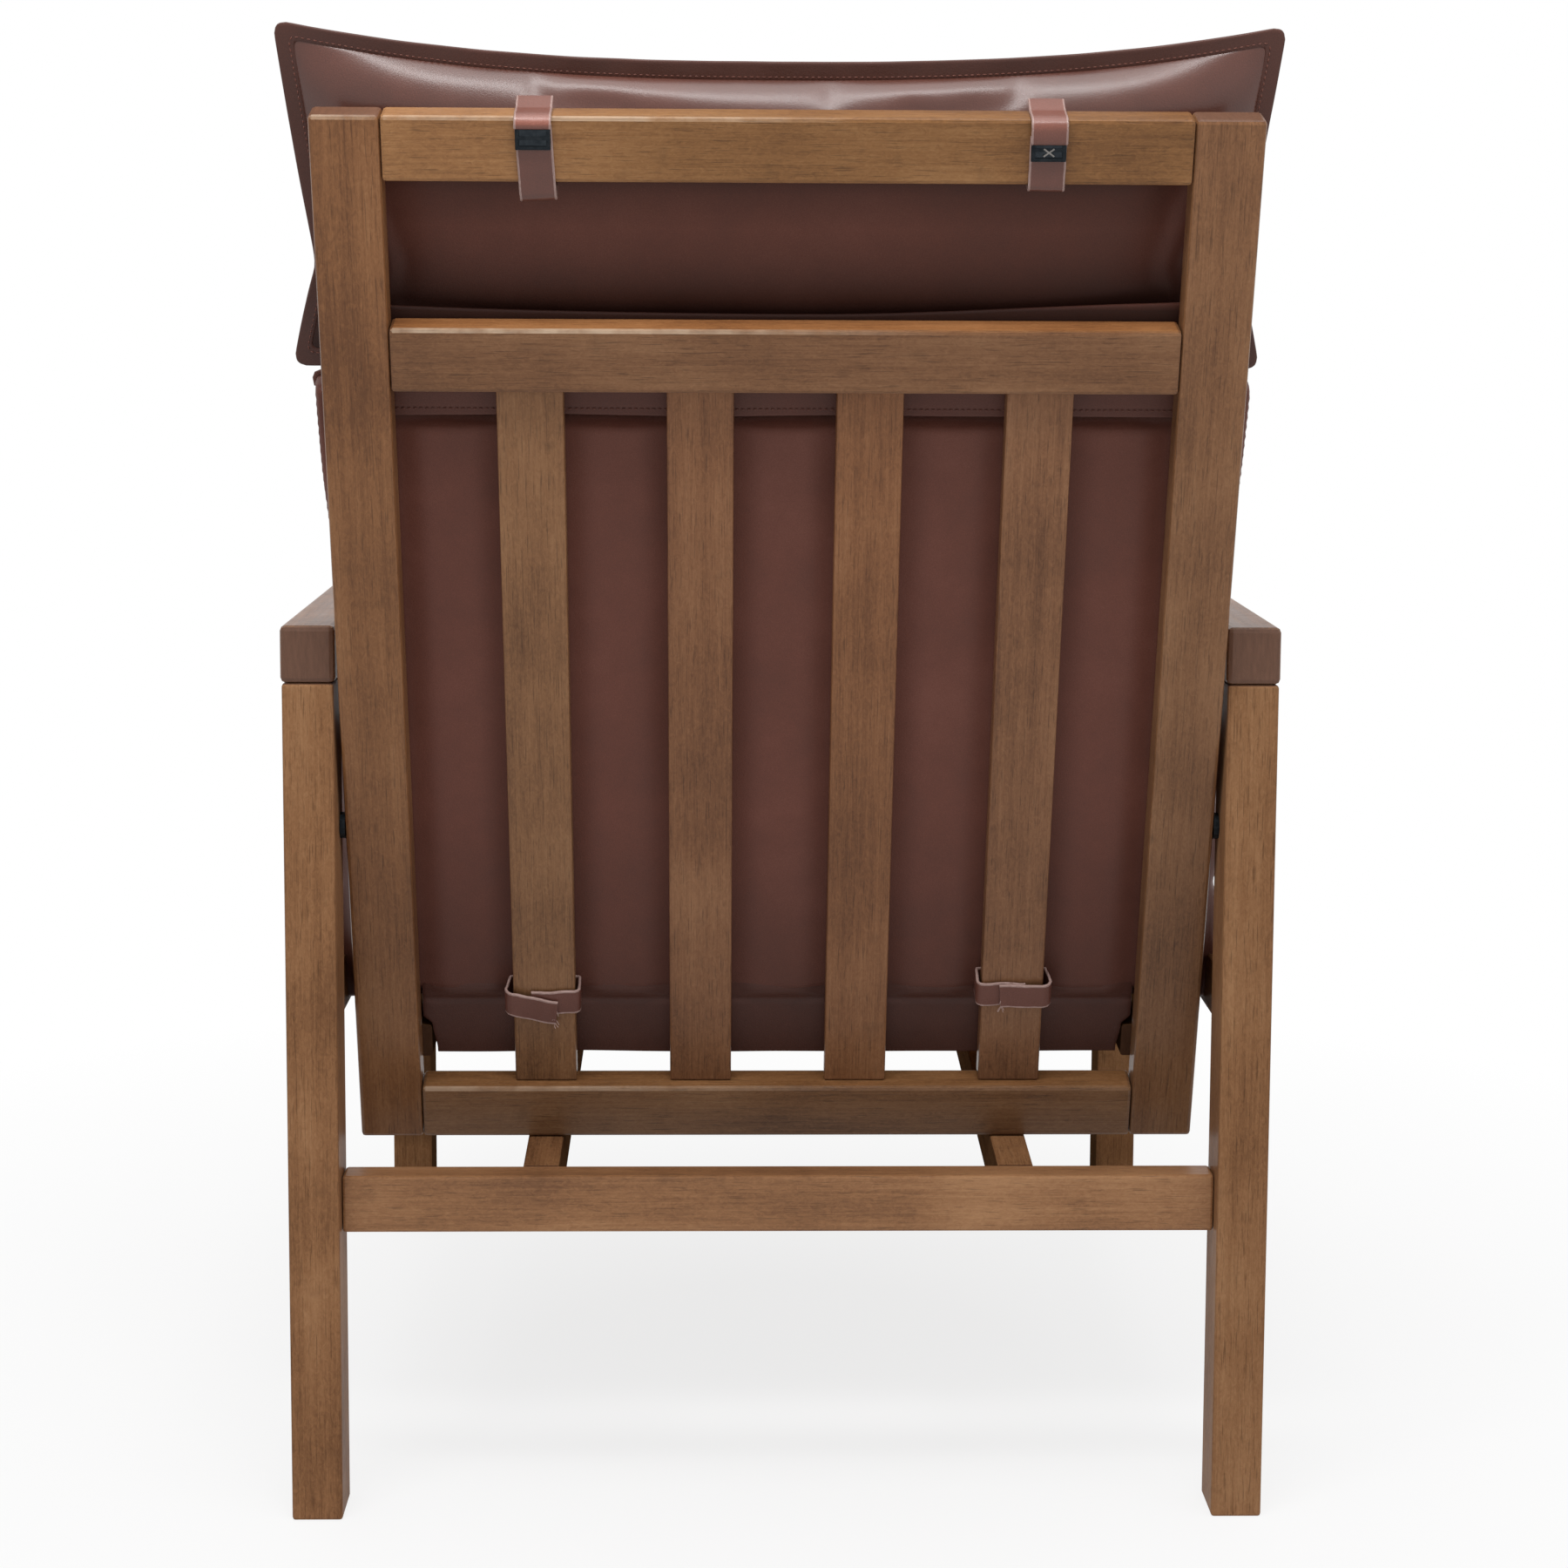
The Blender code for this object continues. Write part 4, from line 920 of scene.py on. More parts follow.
class CHAIR_OT_back_cushion(bpy.types.Operator):
    """Fill and sew the back cushion, and press it against the slats"""
    bl_idname = "chair.back_cushion"
    bl_label = "Make the back cushion"

    def execute(self, context):
        sizes = context.scene.chair_sizes
        facts = BACK_CUSHION
        middle = (facts["bottom"] + facts["top"]) / 2
        half_height = (facts["top"] - facts["bottom"]) / 2

        def half_width(along):
            up = middle + along * half_height
            above = ease(up, ARM_UP, ARM_UP + ARM_BAND)
            below = ease(-up, -ARM_LOW, ARM_LOW_BAND - ARM_LOW)
            return (facts["arm_half"] + (facts["half"] - facts["arm_half"]) * above
                    + (facts["low_half"] - facts["arm_half"]) * below)

        form = boxed_form(half_width, half_height, facts["rear"], facts["body"],
                          facts["front"], facts["draw"], (14.0, 5.0))
        piece = shell("back_cushion_cover", form, facts["grid"], CUSHION_LEVELS)
        inflate(piece, facts)
        centre = FRAME_FRONT + 0.0006 + facts["rear"] + facts["body"] / 2
        shifted(piece, (0.0, centre, middle))
        fine(piece)
        for vertex in piece.data.vertices:
            across, forward, up = vertex.co
            if forward < centre:
                ripple = 0.0007 * waves(across * 22.0, up * 9.0, 3.0)
                least = back_allowance(across, up, sizes.bulge) + ripple
                pressed = (ease(up, facts["bottom"] + 0.008, facts["bottom"] + 0.024)
                           * ease(facts["top"] - up, 0.006, 0.024)
                           * ease(half_width((up - middle) / half_height) - abs(across),
                                  0.008, 0.026))
                vertex.co.y = max(forward + (least - forward) * pressed, least)
        sewn(piece, "back_cushion", 0.4, BACK, "chair")
        return {"FINISHED"}


class CHAIR_OT_seat_cushion(bpy.types.Operator):
    """Fill and sew the loose seat cushion"""
    bl_idname = "chair.seat_cushion"
    bl_label = "Make the seat cushion"

    def execute(self, context):
        sizes = context.scene.chair_sizes
        facts = SEAT_CUSHION
        rear = (facts["rear"] - SEAT_FOOT[0]) / math.cos(SEAT_TILT)
        front = (facts["front"] - SEAT_FOOT[0]) / math.cos(SEAT_TILT)
        half_depth = (front - rear) / 2
        form = boxed_form(lambda along: facts["half"], half_depth, facts["lower"],
                          facts["body"], facts["upper"], facts["draw"], (12.0, 4.0))
        piece = shell("seat_cushion_cover", form, facts["grid"], CUSHION_LEVELS)
        inflate(piece, facts)
        shifted(piece, (0.0, facts["lift"], (rear + front) / 2))
        fine(piece)
        least = SEAT_SLAT_TOP + REST_GAP
        for vertex in piece.data.vertices:
            vertex.co.y = max(vertex.co.y, least)
        sewn(piece, "seat_cushion", 2.1, SEAT, "loose_seat_cushion")
        return {"FINISHED"}


def pillow_outline(across, along, inset):
    """A point of the pillow's outline, or inside it, from its middle: across and up.

    The sides are drawn in to a waist below the middle, and the top sags between its corners.
    """
    waist, draw = PILLOW_WAIST
    share = (along - waist) / (1.0 - waist) if along > waist else (waist - along) / (1.0 + waist)
    width = PILLOW_HALF - inset - draw * (1.0 - (share * share + 0.006) ** 0.375)
    height = PILLOW["height"] / 2 - inset
    if along > 0:
        height -= PILLOW_DIP * (1.0 - abs(across) ** 2.6)
    x, up = across * width, along * height
    radius = max(PILLOW_CORNER - inset * 0.4, 0.004)
    past_x = abs(x) - (width - radius)
    past_up = abs(up) - (height - radius)
    if past_x > 0.0 and past_up > 0.0:
        shrink = max(past_x, past_up) / math.hypot(past_x, past_up)
        x = math.copysign(width - radius + past_x * shrink, x)
        up = math.copysign(height - radius + past_up * shrink, up)
    return x + PILLOW["aside"], up


def pillow_body(across, along, level):
    x, up = pillow_outline(across, along, PILLOW["flange"])
    depth = 0.0012 * level
    if level == 1.0:
        depth += PILLOW["front"] * crown(across, along, 3.2)
    elif level == -1.0:
        depth -= PILLOW["rear"] * crown(across, along, 6.0)
    return (x, depth, up)


PILLOW_SPACE = (BACK @ Matrix.Translation((0.0, PILLOW["centre"],
                                           PILLOW["bottom"] + PILLOW["height"] / 2))
                @ Matrix.Rotation(PILLOW["lean"], 4, "X"))


def rim(steps_across, steps_up):
    """Shares round the pillow's outline, corner by corner."""
    shares = [(-1.0 + 2.0 * step / steps_across, 1.0) for step in range(steps_across)]
    shares += [(1.0, 1.0 - 2.0 * step / steps_up) for step in range(steps_up)]
    shares += [(1.0 - 2.0 * step / steps_across, -1.0) for step in range(steps_across)]
    shares += [(-1.0, -1.0 + 2.0 * step / steps_up) for step in range(steps_up)]
    return shares


class CHAIR_OT_head_pillow(bpy.types.Operator):
    """Fill the head pillow, and sew its flat border and stitching"""
    bl_idname = "chair.head_pillow"
    bl_label = "Make the head pillow"

    def execute(self, context):
        sizes = context.scene.chair_sizes
        piece = shell("head_pillow_cover", pillow_body, PILLOW["grid"], (-1.0, 0.0, 1.0))
        inflate(piece, PILLOW)
        fine(piece)
        to_back = BACK.inverted() @ PILLOW_SPACE
        back_to = to_back.inverted()
        for vertex in piece.data.vertices:
            place = to_back @ vertex.co
            least = back_allowance(place.x, place.z, 0.006) + LEATHER * 0.9
            if place.y < least:
                place.y = least
                vertex.co = back_to @ place
        cover = leather("head_pillow_leather", 5.3, gloss=0.09, deeper=0.14, coat=0.14)
        zones = [self.zone(to_back @ face.center, face.center.y)
                 for face in piece.data.polygons]
        dress(piece, PILLOW_SPACE, cover, "chair", ("head_pillow",))
        piece.data.materials.append(leather("pillow_roll_leather", 5.3, gloss=0.13,
                                            deeper=0.06, coat=0.41))
        piece.data.materials.append(leather("pillow_rear_leather", 5.3, deeper=-0.04,
                                            coat=0.0, specular=0.18, shade=OPENING_SHADE))
        for face, zone in zip(piece.data.polygons, zones):
            face.material_index = zone

        border = leather("pillow_border_leather", 7.7, deeper=0.35)
        dress(self.border(), PILLOW_SPACE, border)
        thread = leather("pillow_thread", 9.1, deeper=-0.35)
        dress(self.thread(sizes.stitch_pitch), PILLOW_SPACE, thread)
        return {"FINISHED"}

    def zone(self, place, depth):
        """Which leather a face has: the front's, the polished roll's or the rear's, which has
        painted shade in the top opening.
        """
        if depth > 0.0:
            return 0
        return 1 if place.z > (TOP_RAIL[0] + TOP_RAIL[1]) / 2 else 2

    def border(self):
        """The flat border: a strip round the pillow with a rounded, slightly wavy edge."""
        shares = rim(150, 54)
        insets = (PILLOW["flange"] + 0.0015, PILLOW["flange"] - 0.001, 0.006, 0.002, 0.0)
        points = []
        for index, (across, along) in enumerate(shares):
            for ring, inset in enumerate(insets):
                x, up = pillow_outline(across, along, inset)
                wave = 0.0011 * waves(x * 34.0, up * 34.0, 1.7) * ring / 4
                points.append((x, wave, up))
        rings = len(insets)
        count = len(shares)
        faces = []
        for index in range(count):
            for ring in range(rings - 1):
                a = index * rings + ring
                b = ((index + 1) % count) * rings + ring
                faces.append((a, b, b + 1, a + 1))
        strip = mesh_piece("head_pillow_border", points, faces)
        thicken(strip, 0.0034, 0.0, 0.0011)
        return strip

    def thread(self, pitch):
        rows = []
        for side in (-1.0, 1.0):
            path = []
            outs = []
            for across, along in rim(300, 110):
                x, up = pillow_outline(across, along, PILLOW["flange"] - 0.0016)
                path.append(Vector((x, side * 0.0017, up)))
                outs.append(Vector((0.0, side, 0.0)))
            path.append(path[0])
            rows.append(stitches(f"pillow_stitches_{len(rows)}", path, outs, pitch,
                                 0.0026, 0.00045, 0.0002))
        return joined(rows, "head_pillow_stitches")


# Cut leather: the flap and hem of the back cushion, the straps and the loops

HEM = {"half": 0.241, "wide_half": 0.2472, "bottom": 0.054, "top": 0.124, "crease": 0.097,
       "slant": 0.003, "rail_clear": (0.076, 0.084)}
FLAP = {"half": 0.286, "bottom": 0.5285, "top": 0.5965, "corner_rise": 0.006, "seam": 0.0045,
        "lip": 0.0042}


def sheet(name, columns, rows, face, thickness):
    """A thin sheet of leather with soft edges; face(across, along) gives its rear face."""
    points = [face(-1.0 + 2.0 * column / columns, -1.0 + 2.0 * row / rows)
              for row in range(rows + 1) for column in range(columns + 1)]
    across = columns + 1
    faces = [(row * across + column, row * across + column + 1,
              (row + 1) * across + column + 1, (row + 1) * across + column)
             for row in range(rows) for column in range(columns)]
    piece = mesh_piece(name, points, faces)
    tidy_normals(piece)
    to_rear = sum(polygon.normal.y for polygon in piece.data.polygons) < 0.0
    thicken(piece, thickness, -1.0 if to_rear else 1.0, thickness * 0.28, 50.0)
    return piece


class CHAIR_OT_flap_and_hem(bpy.types.Operator):
    """Cut the leather flap that lies on the head rail, and the hem below the back cushion"""
    bl_idname = "chair.flap_and_hem"
    bl_label = "Make the flap and the hem"

    def execute(self, context):
        sizes = context.scene.chair_sizes
        rear = FRAME_FRONT + 0.0004

        def hem_face(across, along):
            up = HEM["bottom"] + (HEM["top"] - HEM["bottom"]) * (along + 1.0) / 2
            below = ease(HEM["rail_clear"][0] - up, 0.0, 0.020)
            wide = ease(up, *HEM["rail_clear"])
            x = across * (HEM["half"] + (HEM["wide_half"] - HEM["half"]) * wide
                          - HEM["slant"] * below)
            swell = (FRAME_FRONT + REST_GAP - back_allowance(x, up, sizes.bulge))
            above = ease(up, HEM["crease"] - 0.001, HEM["crease"] + 0.010)
            tucked = 0.0045 * ease(up, HEM["crease"] + 0.013, HEM["top"])
            fold = 0.0009 * math.exp(-((up - HEM["crease"]) / 0.0022) ** 2)
            wave = 0.0005 * waves(x * 16.0, up * 14.0, 8.0) + 0.0005 + tucked
            edge = 0.0011 * waves(x * 11.0, 0.0, 4.0) * ease(-along, 0.6, 1.0)
            return (x, rear + fold + wave - swell * above, up + edge)

        def flap_face(across, along):
            x = across * FLAP["half"]
            top = (FLAP["top"] + FLAP["corner_rise"] * across ** 2
                   + FLAP["lip"] * ease(-x, 0.02, 0.22))
            up = FLAP["bottom"] + (top - FLAP["bottom"]) * (along + 1.0) / 2
            seam = 0.0007 * math.exp(-((up - FLAP["bottom"] - FLAP["seam"]) / 0.0012) ** 2)
            wave = 0.0004 * (1.0 + waves(x * 15.0, up * 12.0, 6.0))
            edge = 0.0009 * waves(x * 10.0, 0.0, 9.0) * ease(-along, 0.7, 1.0)
            return (x, rear + seam + wave, up + edge)

        hem = sheet("back_cushion_hem_leather", 160, 60, hem_face, LEATHER)
        flap = sheet("back_cushion_flap_leather", 180, 34, flap_face, LEATHER)
        path = [Vector((across * (FLAP["half"] - 0.003), rear, FLAP["bottom"] + FLAP["seam"]))
                for across in (-1.0 + 2.0 * step / 200 for step in range(201))]
        rows = stitches("back_cushion_flap_stitches", path, [Vector((0.0, -1.0, 0.0))] * 201,
                        sizes.stitch_pitch, 0.0025, 0.00035, 0.0)
        hem_hide = leather("hem_leather", 3.4, deeper=0.20, specular=0.22)
        flap_hide = leather("flap_leather", 4.6, deeper=0.16, specular=0.22,
                            shade=FLAP_SHADE)
        thread = leather("flap_thread", 6.6, deeper=-0.2)
        for part, cover, replaced in ((hem, hem_hide, ("back_cushion_hem",)),
                                      (flap, flap_hide, ("back_cushion_flap",)),
                                      (rows, thread, ())):
            dress(part, BACK, cover, "chair", replaced)
        return {"FINISHED"}


# width, thickness, width of the raw edge, distance over the rail, and step between its points
STRAP = {"width": 0.0225, "thickness": 0.0020, "raw": 0.0013, "rest": 0.0013, "step": 0.0022}
# Each strap's middle, how far its tab drops and its fold lifts, and its tail's slack, bend
# and skew
STRAPS = {"left": (0.155, 0.0075, 0.0030, 0.0060, 0.0050, -0.055),
          "right": (-0.158, 0.0130, 0.0006, 0.0, 0.0030, 0.010)}
TAB_PLANE, TAB_BOW, TAB_FOLD = -0.0061, 0.0068, 0.0011
TAIL_PLANE = -0.0013
BUCKLE = {"height": 0.0150, "half": 0.01075, "overlap": 0.0030, "rear": -0.0048,
          "border": 0.0024}


def turned_path(centre, radius, start, stop, steps):
    """Points of an arc in (forward, up), its angles in degrees."""
    angles = [math.radians(start + (stop - start) * step / steps) for step in range(steps + 1)]
    return [(centre[0] + radius * math.cos(angle), centre[1] + radius * math.sin(angle))
            for angle in angles]


def evenly(path, step):
    """The same path with points added so that no two lie further apart than a step."""
    full = [path[0]]
    for here, there in zip(path, path[1:]):
        parts = max(1, math.ceil(math.dist(here, there) / step))
        full += [tuple(a + (b - a) * part / parts for a, b in zip(here, there))
                 for part in range(1, parts + 1)]
    return full


def strap(name, path, across, facts, seed):
    """A flat strap with worn, slightly uneven raw edges, along a path of points."""
    half, edge = facts["width"] / 2, facts["thickness"] / 2
    soft, raw = facts["thickness"] * 0.22, facts["raw"]
    profile = [(-half, -edge + soft), (-half + soft, -edge), (-half + raw, -edge),
               (0.0, -edge * 1.06), (half - raw, -edge), (half - soft, -edge),
               (half, -edge + soft), (half, edge - soft), (half - soft, edge),
               (half - raw, edge), (-half + raw, edge), (-half + soft, edge),
               (-half, edge - soft)]
    pale = {0: 1.0, 1: 0.75, 4: 0.75, 5: 1.0, 6: 1.0, 7: 1.0, 8: 0.75, 10: 0.75, 11: 1.0,
            12: 1.0}
    piece = swept(name, path, across, profile)
    ring = len(profile)
    worn = piece.data.attributes.new("cut_edge", "FLOAT", "FACE")
    runs = (len(path) - 1) * ring
    for index in range(len(piece.data.polygons)):
        uneven = waves(index // ring * 0.9, seed, index % ring * 3.0)
        level = 1.0 if index >= runs else pale.get(index % ring, 0.0)
        worn.data[index].value = level * (0.85 + 0.35 * uneven)
    for vertex in piece.data.vertices:
        spot = vertex.co * 900.0 + Vector((seed, 0.0, 0.0))
        vertex.co += noise.noise_vector(spot) * 0.00016
    smooth(piece)
    return piece


class CHAIR_OT_head_straps(bpy.types.Operator):
    """Cut the two straps over the top rail, with their tails and buckle faces"""
    bl_idname = "chair.head_straps"
    bl_label = "Make the head straps"

    def execute(self, context):
        iron = context.scene.chair_finish.buckle_black
        black = metal("buckle_face_iron", tuple(part * 1.5 for part in iron), 0.34, 5.0)
        for side, (middle, drop, lift, slack, bend, skew) in STRAPS.items():
            hide_cut = leather(f"strap_leather_{side}", middle * 9.0, gloss=0.12,
                               deeper=-0.14, raw_edges=True, coat=0.30,
                               shade=STRAP_SHADE[side])
            top = TOP_RAIL[1] - drop
            over = TOP_RAIL[1] + STRAP["rest"]
            path = [(0.0259, over + 0.0045), (0.0132, over + 0.0004)]
            path += turned_path((TAB_PLANE + TAB_BOW, over - TAB_BOW), TAB_BOW, 90.0, 180.0, 12)
            fold = top + 0.0002 + lift
            path += [(TAB_PLANE, fold + 0.0008)]
            path += turned_path((TAB_PLANE + TAB_FOLD, fold), TAB_FOLD, 180.0, 260.0, 5)
            self.make(f"head_strap_{side}_cut", path, middle, 0.0, hide_cut,
                      (f"head_strap_{side}",), 1.0 + middle)

            path = [(TAIL_PLANE, top + BUCKLE["overlap"])]
            path += turned_path((bend + TAIL_PLANE, TOP_RAIL[0] - slack), bend, 180.0, 270.0, 8)
            path += [(0.0233, TOP_RAIL[0] - STRAP["rest"] - slack / 2)]
            self.make(f"head_strap_tail_{side}_cut", path, middle, skew, hide_cut,
                      (f"head_strap_tail_{side}",), 2.0 + middle)
            self.face(side, middle, top + BUCKLE["overlap"], black)
        return {"FINISHED"}

    def make(self, name, path, middle, skew, cover, replaced, seed):
        path = evenly(path, STRAP["step"])
        start = path[0][1]
        points = [Vector((middle + skew * (start - up), forward, up)) for forward, up in path]
        sides = [Vector((1.0, 0.0, skew)).normalized()] * len(points)
        piece = strap(name, points, sides, STRAP, seed)
        dress(piece, BACK, cover, "chair", replaced)

    def face(self, side, middle, top, black):
        """The buckle's dark pressed face, set in its frame, and on one side a raised cross."""
        border = BUCKLE["border"] * 0.8
        wide, tall = BUCKLE["half"] - border, BUCKLE["height"] / 2 - border
        centre = Vector((middle, BUCKLE["rear"], top - BUCKLE["height"] / 2))
        plate = added(f"buckle_face_{side}", bpy.ops.mesh.primitive_grid_add,
                      x_subdivisions=14, y_subdivisions=10, size=2.0)
        for vertex in plate.data.vertices:
            across, along, _ = vertex.co
            dome = crown(across, along, 4.0)
            vertex.co = centre + Vector((across * wide, 0.0009 - 0.0006 * dome, along * tall))
        thicken(plate, 0.0006, 0.0)
        dress(plate, BACK, black)
        if side == "right":
            bars = []
            for turn in (-1.0, 1.0):
                path = [centre + Vector((turn * reach, -0.0001, reach * 0.75 - 0.0016))
                        for reach in (-0.0032, 0.0, 0.0032)]
                across = [Vector((0.75, 0.0, -turn)).normalized()] * 3
                bars.append(swept("buckle_cross", path, across, round_profile(0.0007, 8)))
            cross = joined(bars, "buckle_cross_right")
            worn_iron = metal("worn_iron", (0.17, 0.16, 0.15), 0.36, 6.0)
            dress(cross, BACK, worn_iron)


LOOP = {"width": 0.0185, "thickness": 0.0018, "stand_off": 0.0005, "overlap": 0.030,
        "corner": 0.0042, "front_corner": 0.0015, "loose": 0.0014, "raw": 0.0014, "step": 0.0025}
LOOP_HEIGHTS = {"left": 0.1045, "right": 0.1110}
LOOP_SLANT = {"left": -0.23, "right": 0.0}
LOOP_RISE = 0.12


class CHAIR_OT_slat_loops(bpy.types.Operator):
    """Wind a strap round each outer slat, its frayed end lapped over its start"""
    bl_idname = "chair.slat_loops"
    bl_label = "Make the slat loops"

    def execute(self, context):
        off = LOOP["stand_off"] + LOOP["thickness"] / 2
        outer = off + LOOP["stand_off"] + LOOP["thickness"]
        round_in, round_out = LOOP["corner"], LOOP["corner"] + LOOP["thickness"]
        tight = LOOP["front_corner"]
        for side, lane, hand in (("left", 1.5, -1.0), ("right", -1.5, 1.0)):
            middle = SLAT_PITCH * lane
            beside = SLAT_HALF + off + LOOP["loose"]
            lapped = SLAT_HALF + outer + LOOP["loose"]
            rear, front = SLAT_REAR - off + round_in, FRAME_FRONT + off - tight
            path = [(SLAT_HALF - LOOP["overlap"], SLAT_REAR - off)]
            path += turned_path((beside - round_in, rear), round_in, 270.0, 360.0, 8)
            path += turned_path((beside - tight, front), tight, 0.0, 90.0, 5)
            path += turned_path((tight - beside, front), tight, 90.0, 180.0, 5)
            path += turned_path((round_out - lapped, SLAT_REAR - outer + round_out), round_out,
                                180.0, 270.0, 9)
            lap_start = len(evenly(path, LOOP["step"]))
            path += [(LOOP["overlap"] - SLAT_HALF, SLAT_REAR - outer)]
            path = evenly(path, LOOP["step"])
            turn_end = path[lap_start - 1][0]
            points = []
            for index, (across, forward) in enumerate(path):
                wave = waves(across * 70.0, forward * 90.0, 3.0 + hand)
                up = LOOP_HEIGHTS[side] + LOOP_RISE * (forward - SLAT_REAR) + wave * 0.0012
                if index >= lap_start:
                    up += LOOP_SLANT[side] * abs(across - turn_end)
                points.append(Vector((middle + hand * across, forward, up)))
            ups = []
            for index, point in enumerate(points):
                run = points[min(index + 1, len(points) - 1)] - points[max(index - 1, 0)]
                run.normalize()
                lean = Vector((0.0, LOOP_RISE * -0.6, 1.0))
                ups.append((lean - run * lean.dot(run)).normalized())
            piece = strap(f"slat_loop_{side}_cut", points, ups, LOOP, 4.0 + hand)
            frayed = self.threads(points[-1], ups[-1], (points[-1] - points[-2]).normalized(),
                                  random.Random(11 if side == "left" else 12))
            piece = joined([piece] + frayed, f"slat_loop_{side}_cut")
            cover = leather(f"loop_leather_{side}", 8.0 + hand, deeper=-0.42, raw_edges=True)
            dress(piece, BACK, cover, "chair", (f"slat_loop_{side}",))
        return {"FINISHED"}

    def threads(self, end, up, run, chance):
        """Loose fibres at the cut end of a loop."""
        made = []
        for number in range(7):
            place = end + up * chance.uniform(-0.0092, 0.0080) - run * 0.0004
            step = Vector((chance.uniform(-0.3, 0.5), chance.uniform(-0.25, 0.05), -1.0))
            path = [place]
            for _ in range(6):
                step += Vector([chance.uniform(-0.5, 0.5), chance.uniform(-0.12, 0.10), 0.0])
                path.append(path[-1] + step.normalized() * 0.00075)
            thread = swept(f"frayed_thread_{number}", path, [Vector((1.0, 0.0, 0.0))] * 7,
                           round_profile(0.00028, 5))
            level = thread.data.attributes.new("cut_edge", "FLOAT", "FACE")
            for value in level.data:
                value.value = 0.9
            made.append(thread)
        return made


# Lamps: place, target, size across and up, and share of the main lamp's power
LAMPS = {"main_lamp": ((0.3, 1.55, 2.75), (0.0, 0.2, 0.6), (2.0, 0.45), 1.0),
         "side_lamp": ((-2.6, 2.0, 1.9), (0.0, 0.1, 0.5), (2.0, 2.0), 0.3),
         "top_lamp": ((0.0, 0.7, 2.9), (0.0, 0.2, 0.4), (1.6, 1.6), 0.6)}
# The camera, fitted to the photograph: place, turns in degrees, and shift of the frame
CAMERA_PLACE = (0.041, 2.229, 0.8402)
CAMERA_YAW, CAMERA_PITCH, CAMERA_ROLL = -1.233, -6.137, 0.275
CAMERA_SHIFT = -0.12


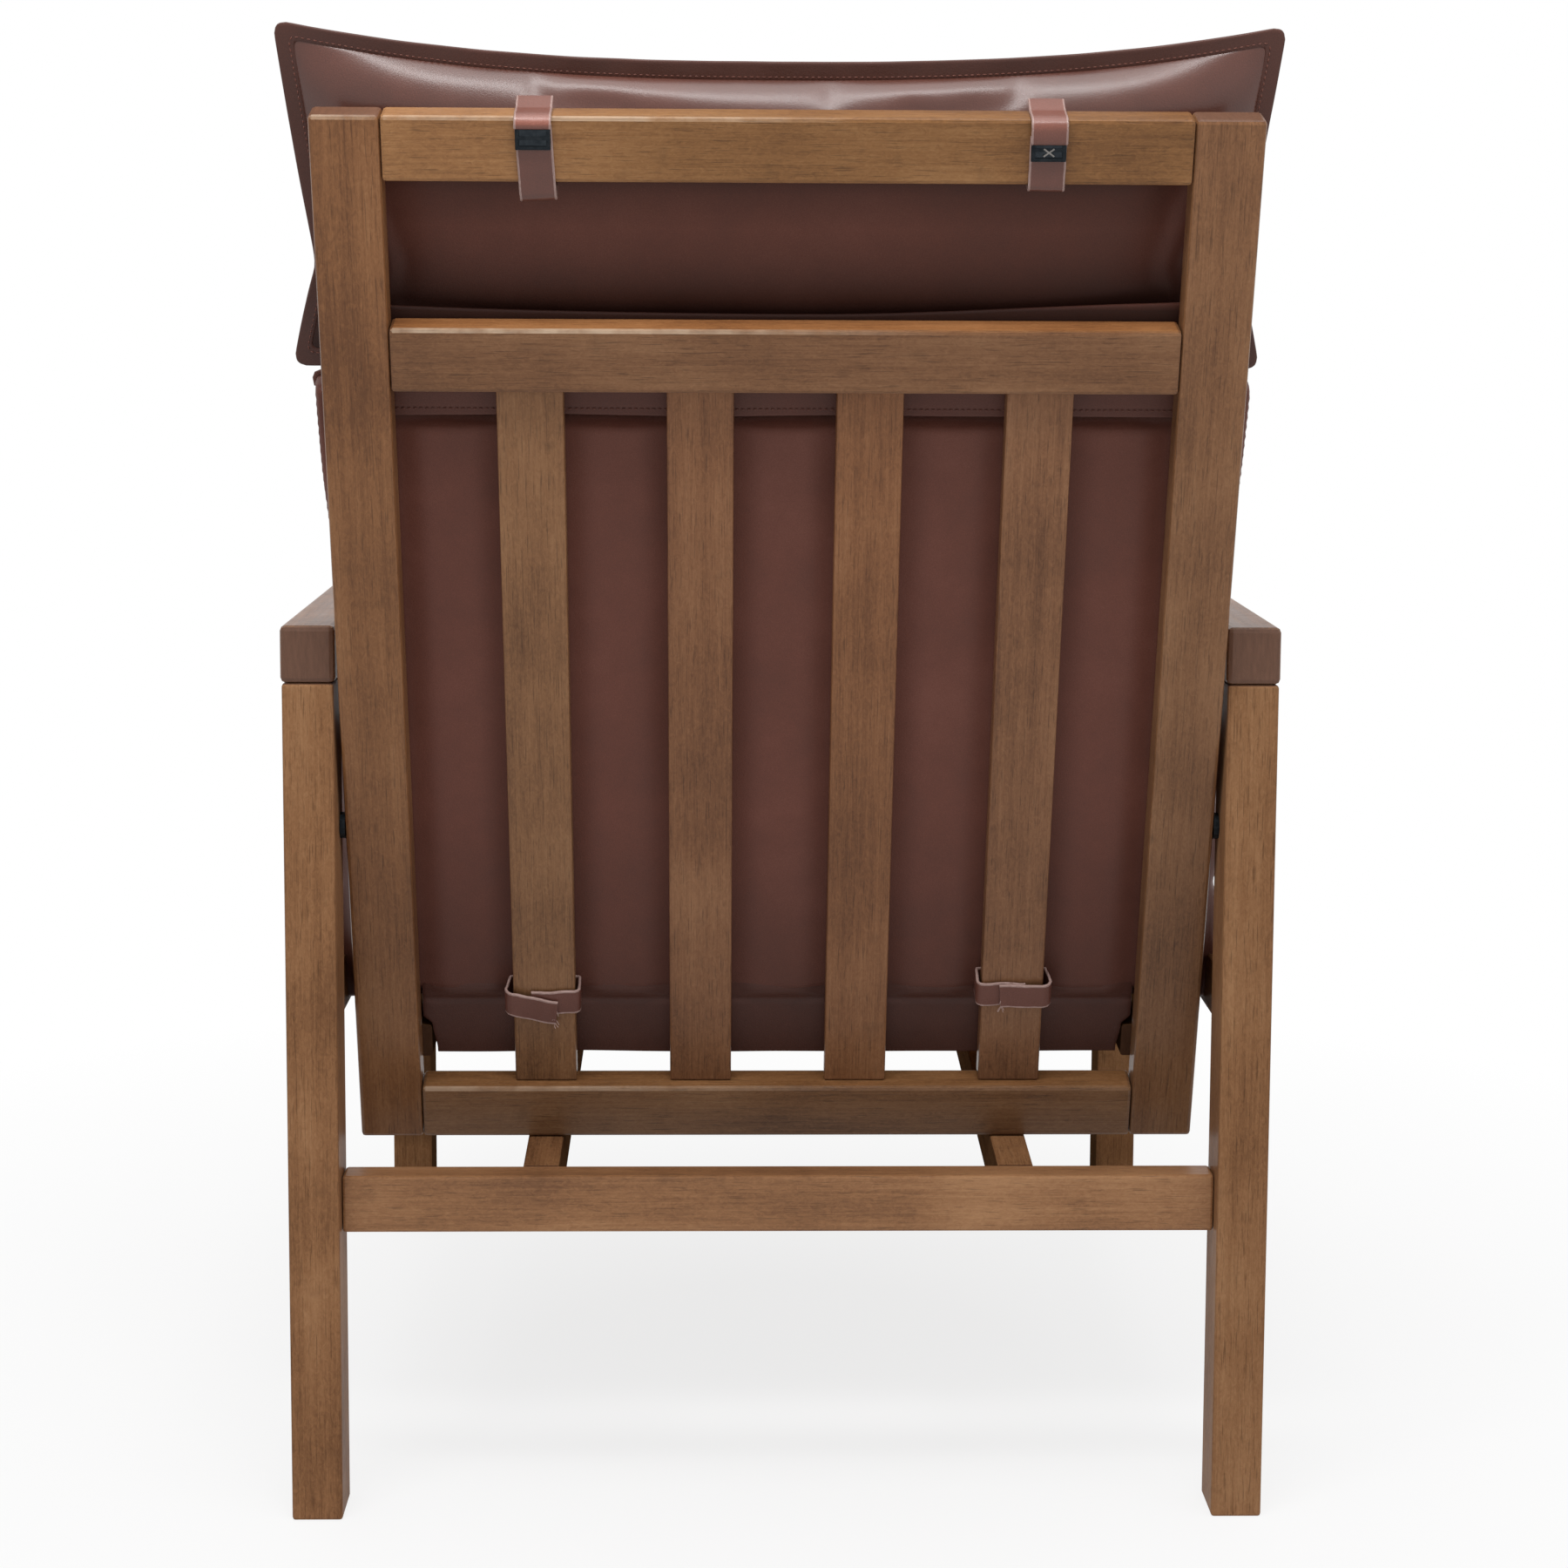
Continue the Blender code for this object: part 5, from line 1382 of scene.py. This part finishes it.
class CHAIR_OT_stage(bpy.types.Operator):
    """Set up the floor, the soft lamps and the camera"""
    bl_idname = "chair.stage"
    bl_label = "Set up the stage"

    def execute(self, context):
        settings = context.scene.chair_stage
        context.scene.view_settings.view_transform = "Standard"
        self.floor()
        self.room(settings)
        for name, facts in LAMPS.items():
            self.lamp(name, *facts, settings.lamp)
        self.camera(settings)
        return {"FINISHED"}

    def floor(self):
        floor = added("studio_floor", bpy.ops.mesh.primitive_plane_add, size=16.0)
        recipe = Recipe("studio_floor", Specular_IOR_Level=0.2)
        grain = recipe.clouds(recipe.place(), 3.0, 3.0, 0.5)
        recipe.paint(recipe.blend(grain, (0.86, 0.86, 0.86, 1.0), (0.90, 0.90, 0.90, 1.0)), 0.8)
        reach = recipe.node("ShaderNodeVectorMath", {"operation": "LENGTH"},
                            {0: recipe.place()}, output="Value")
        paler = recipe.ramp(reach * 0.5, [(0.10, 0.78), (0.60, 1.0)])
        recipe.glow(recipe.direct() * paler)
        floor.data.materials.append(recipe.material)

    def room(self, settings):
        world = bpy.data.worlds.new("studio")
        bpy.context.scene.world = world
        world.use_nodes = True
        room = Wiring(world.node_tree)
        white = room.node("ShaderNodeBackground", {}, {"Color": WHITE})
        light = room.node("ShaderNodeBackground", {}, {"Color": WHITE, "Strength": settings.sky})
        both = room.node("ShaderNodeMixShader", {}, {0: room.direct(), 1: light, 2: white})
        room.node("ShaderNodeOutputWorld", {}, {"Surface": both})

    def lamp(self, name, place, target, size, share, power):
        lamp = added(name, bpy.ops.object.light_add, place, type="AREA")
        lamp.data.shape = "RECTANGLE"
        lamp.data.size, lamp.data.size_y = size
        lamp.data.energy = power * share
        aim = Vector(target) - Vector(place)
        lamp.rotation_euler = aim.to_track_quat("-Z", "Y").to_euler()

    def camera(self, settings):
        camera = added("photo_camera", bpy.ops.object.camera_add, CAMERA_PLACE)
        turn = (Matrix.Rotation(math.radians(180.0 + CAMERA_YAW), 3, "Z")
                @ Matrix.Rotation(math.radians(90.0 + CAMERA_PITCH), 3, "X")
                @ Matrix.Rotation(math.radians(CAMERA_ROLL), 3, "Z"))
        camera.rotation_euler = turn.to_euler()
        camera.data.lens = settings.lens
        camera.data.sensor_width = 36.0
        camera.data.shift_y = CAMERA_SHIFT
        camera.data.clip_start = 0.05
        bpy.context.scene.camera = camera


class CHAIR_PT_panel(bpy.types.Panel):
    """The chair's pieces and finishes"""
    bl_label = "Lounge chair"
    bl_idname = "CHAIR_PT_panel"
    bl_space_type = "VIEW_3D"
    bl_region_type = "UI"
    bl_category = "Chair"

    def draw(self, context):
        layout = self.layout
        for group in (context.scene.chair_sizes, context.scene.chair_finish,
                      context.scene.chair_stage):
            box = layout.box()
            for key in group.bl_rna.properties.keys():
                if key not in ("name", "rna_type"):
                    box.prop(group, key)
        for operator in OPERATORS:
            layout.operator(operator.bl_idname)


GROUPS = (("chair_finish", ChairFinish), ("chair_sizes", ChairSizes),
          ("chair_stage", StageSettings))
OPERATORS = (CHAIR_OT_timber, CHAIR_OT_fasteners, CHAIR_OT_back_cushion,
             CHAIR_OT_seat_cushion, CHAIR_OT_head_pillow, CHAIR_OT_flap_and_hem,
             CHAIR_OT_head_straps, CHAIR_OT_slat_loops, CHAIR_OT_stage)


def register():
    for name, group in GROUPS:
        bpy.utils.register_class(group)
        setattr(bpy.types.Scene, name, bpy.props.PointerProperty(type=group))
    for operator in OPERATORS:
        bpy.utils.register_class(operator)
    bpy.utils.register_class(CHAIR_PT_panel)


def unregister():
    bpy.utils.unregister_class(CHAIR_PT_panel)
    for operator in reversed(OPERATORS):
        bpy.utils.unregister_class(operator)
    for name, group in reversed(GROUPS):
        delattr(bpy.types.Scene, name)
        bpy.utils.unregister_class(group)


def main():
    register()
    for operator in OPERATORS:
        group, name = operator.bl_idname.split(".")
        getattr(getattr(bpy.ops, group), name)()


if __name__ == "__main__":
    main()
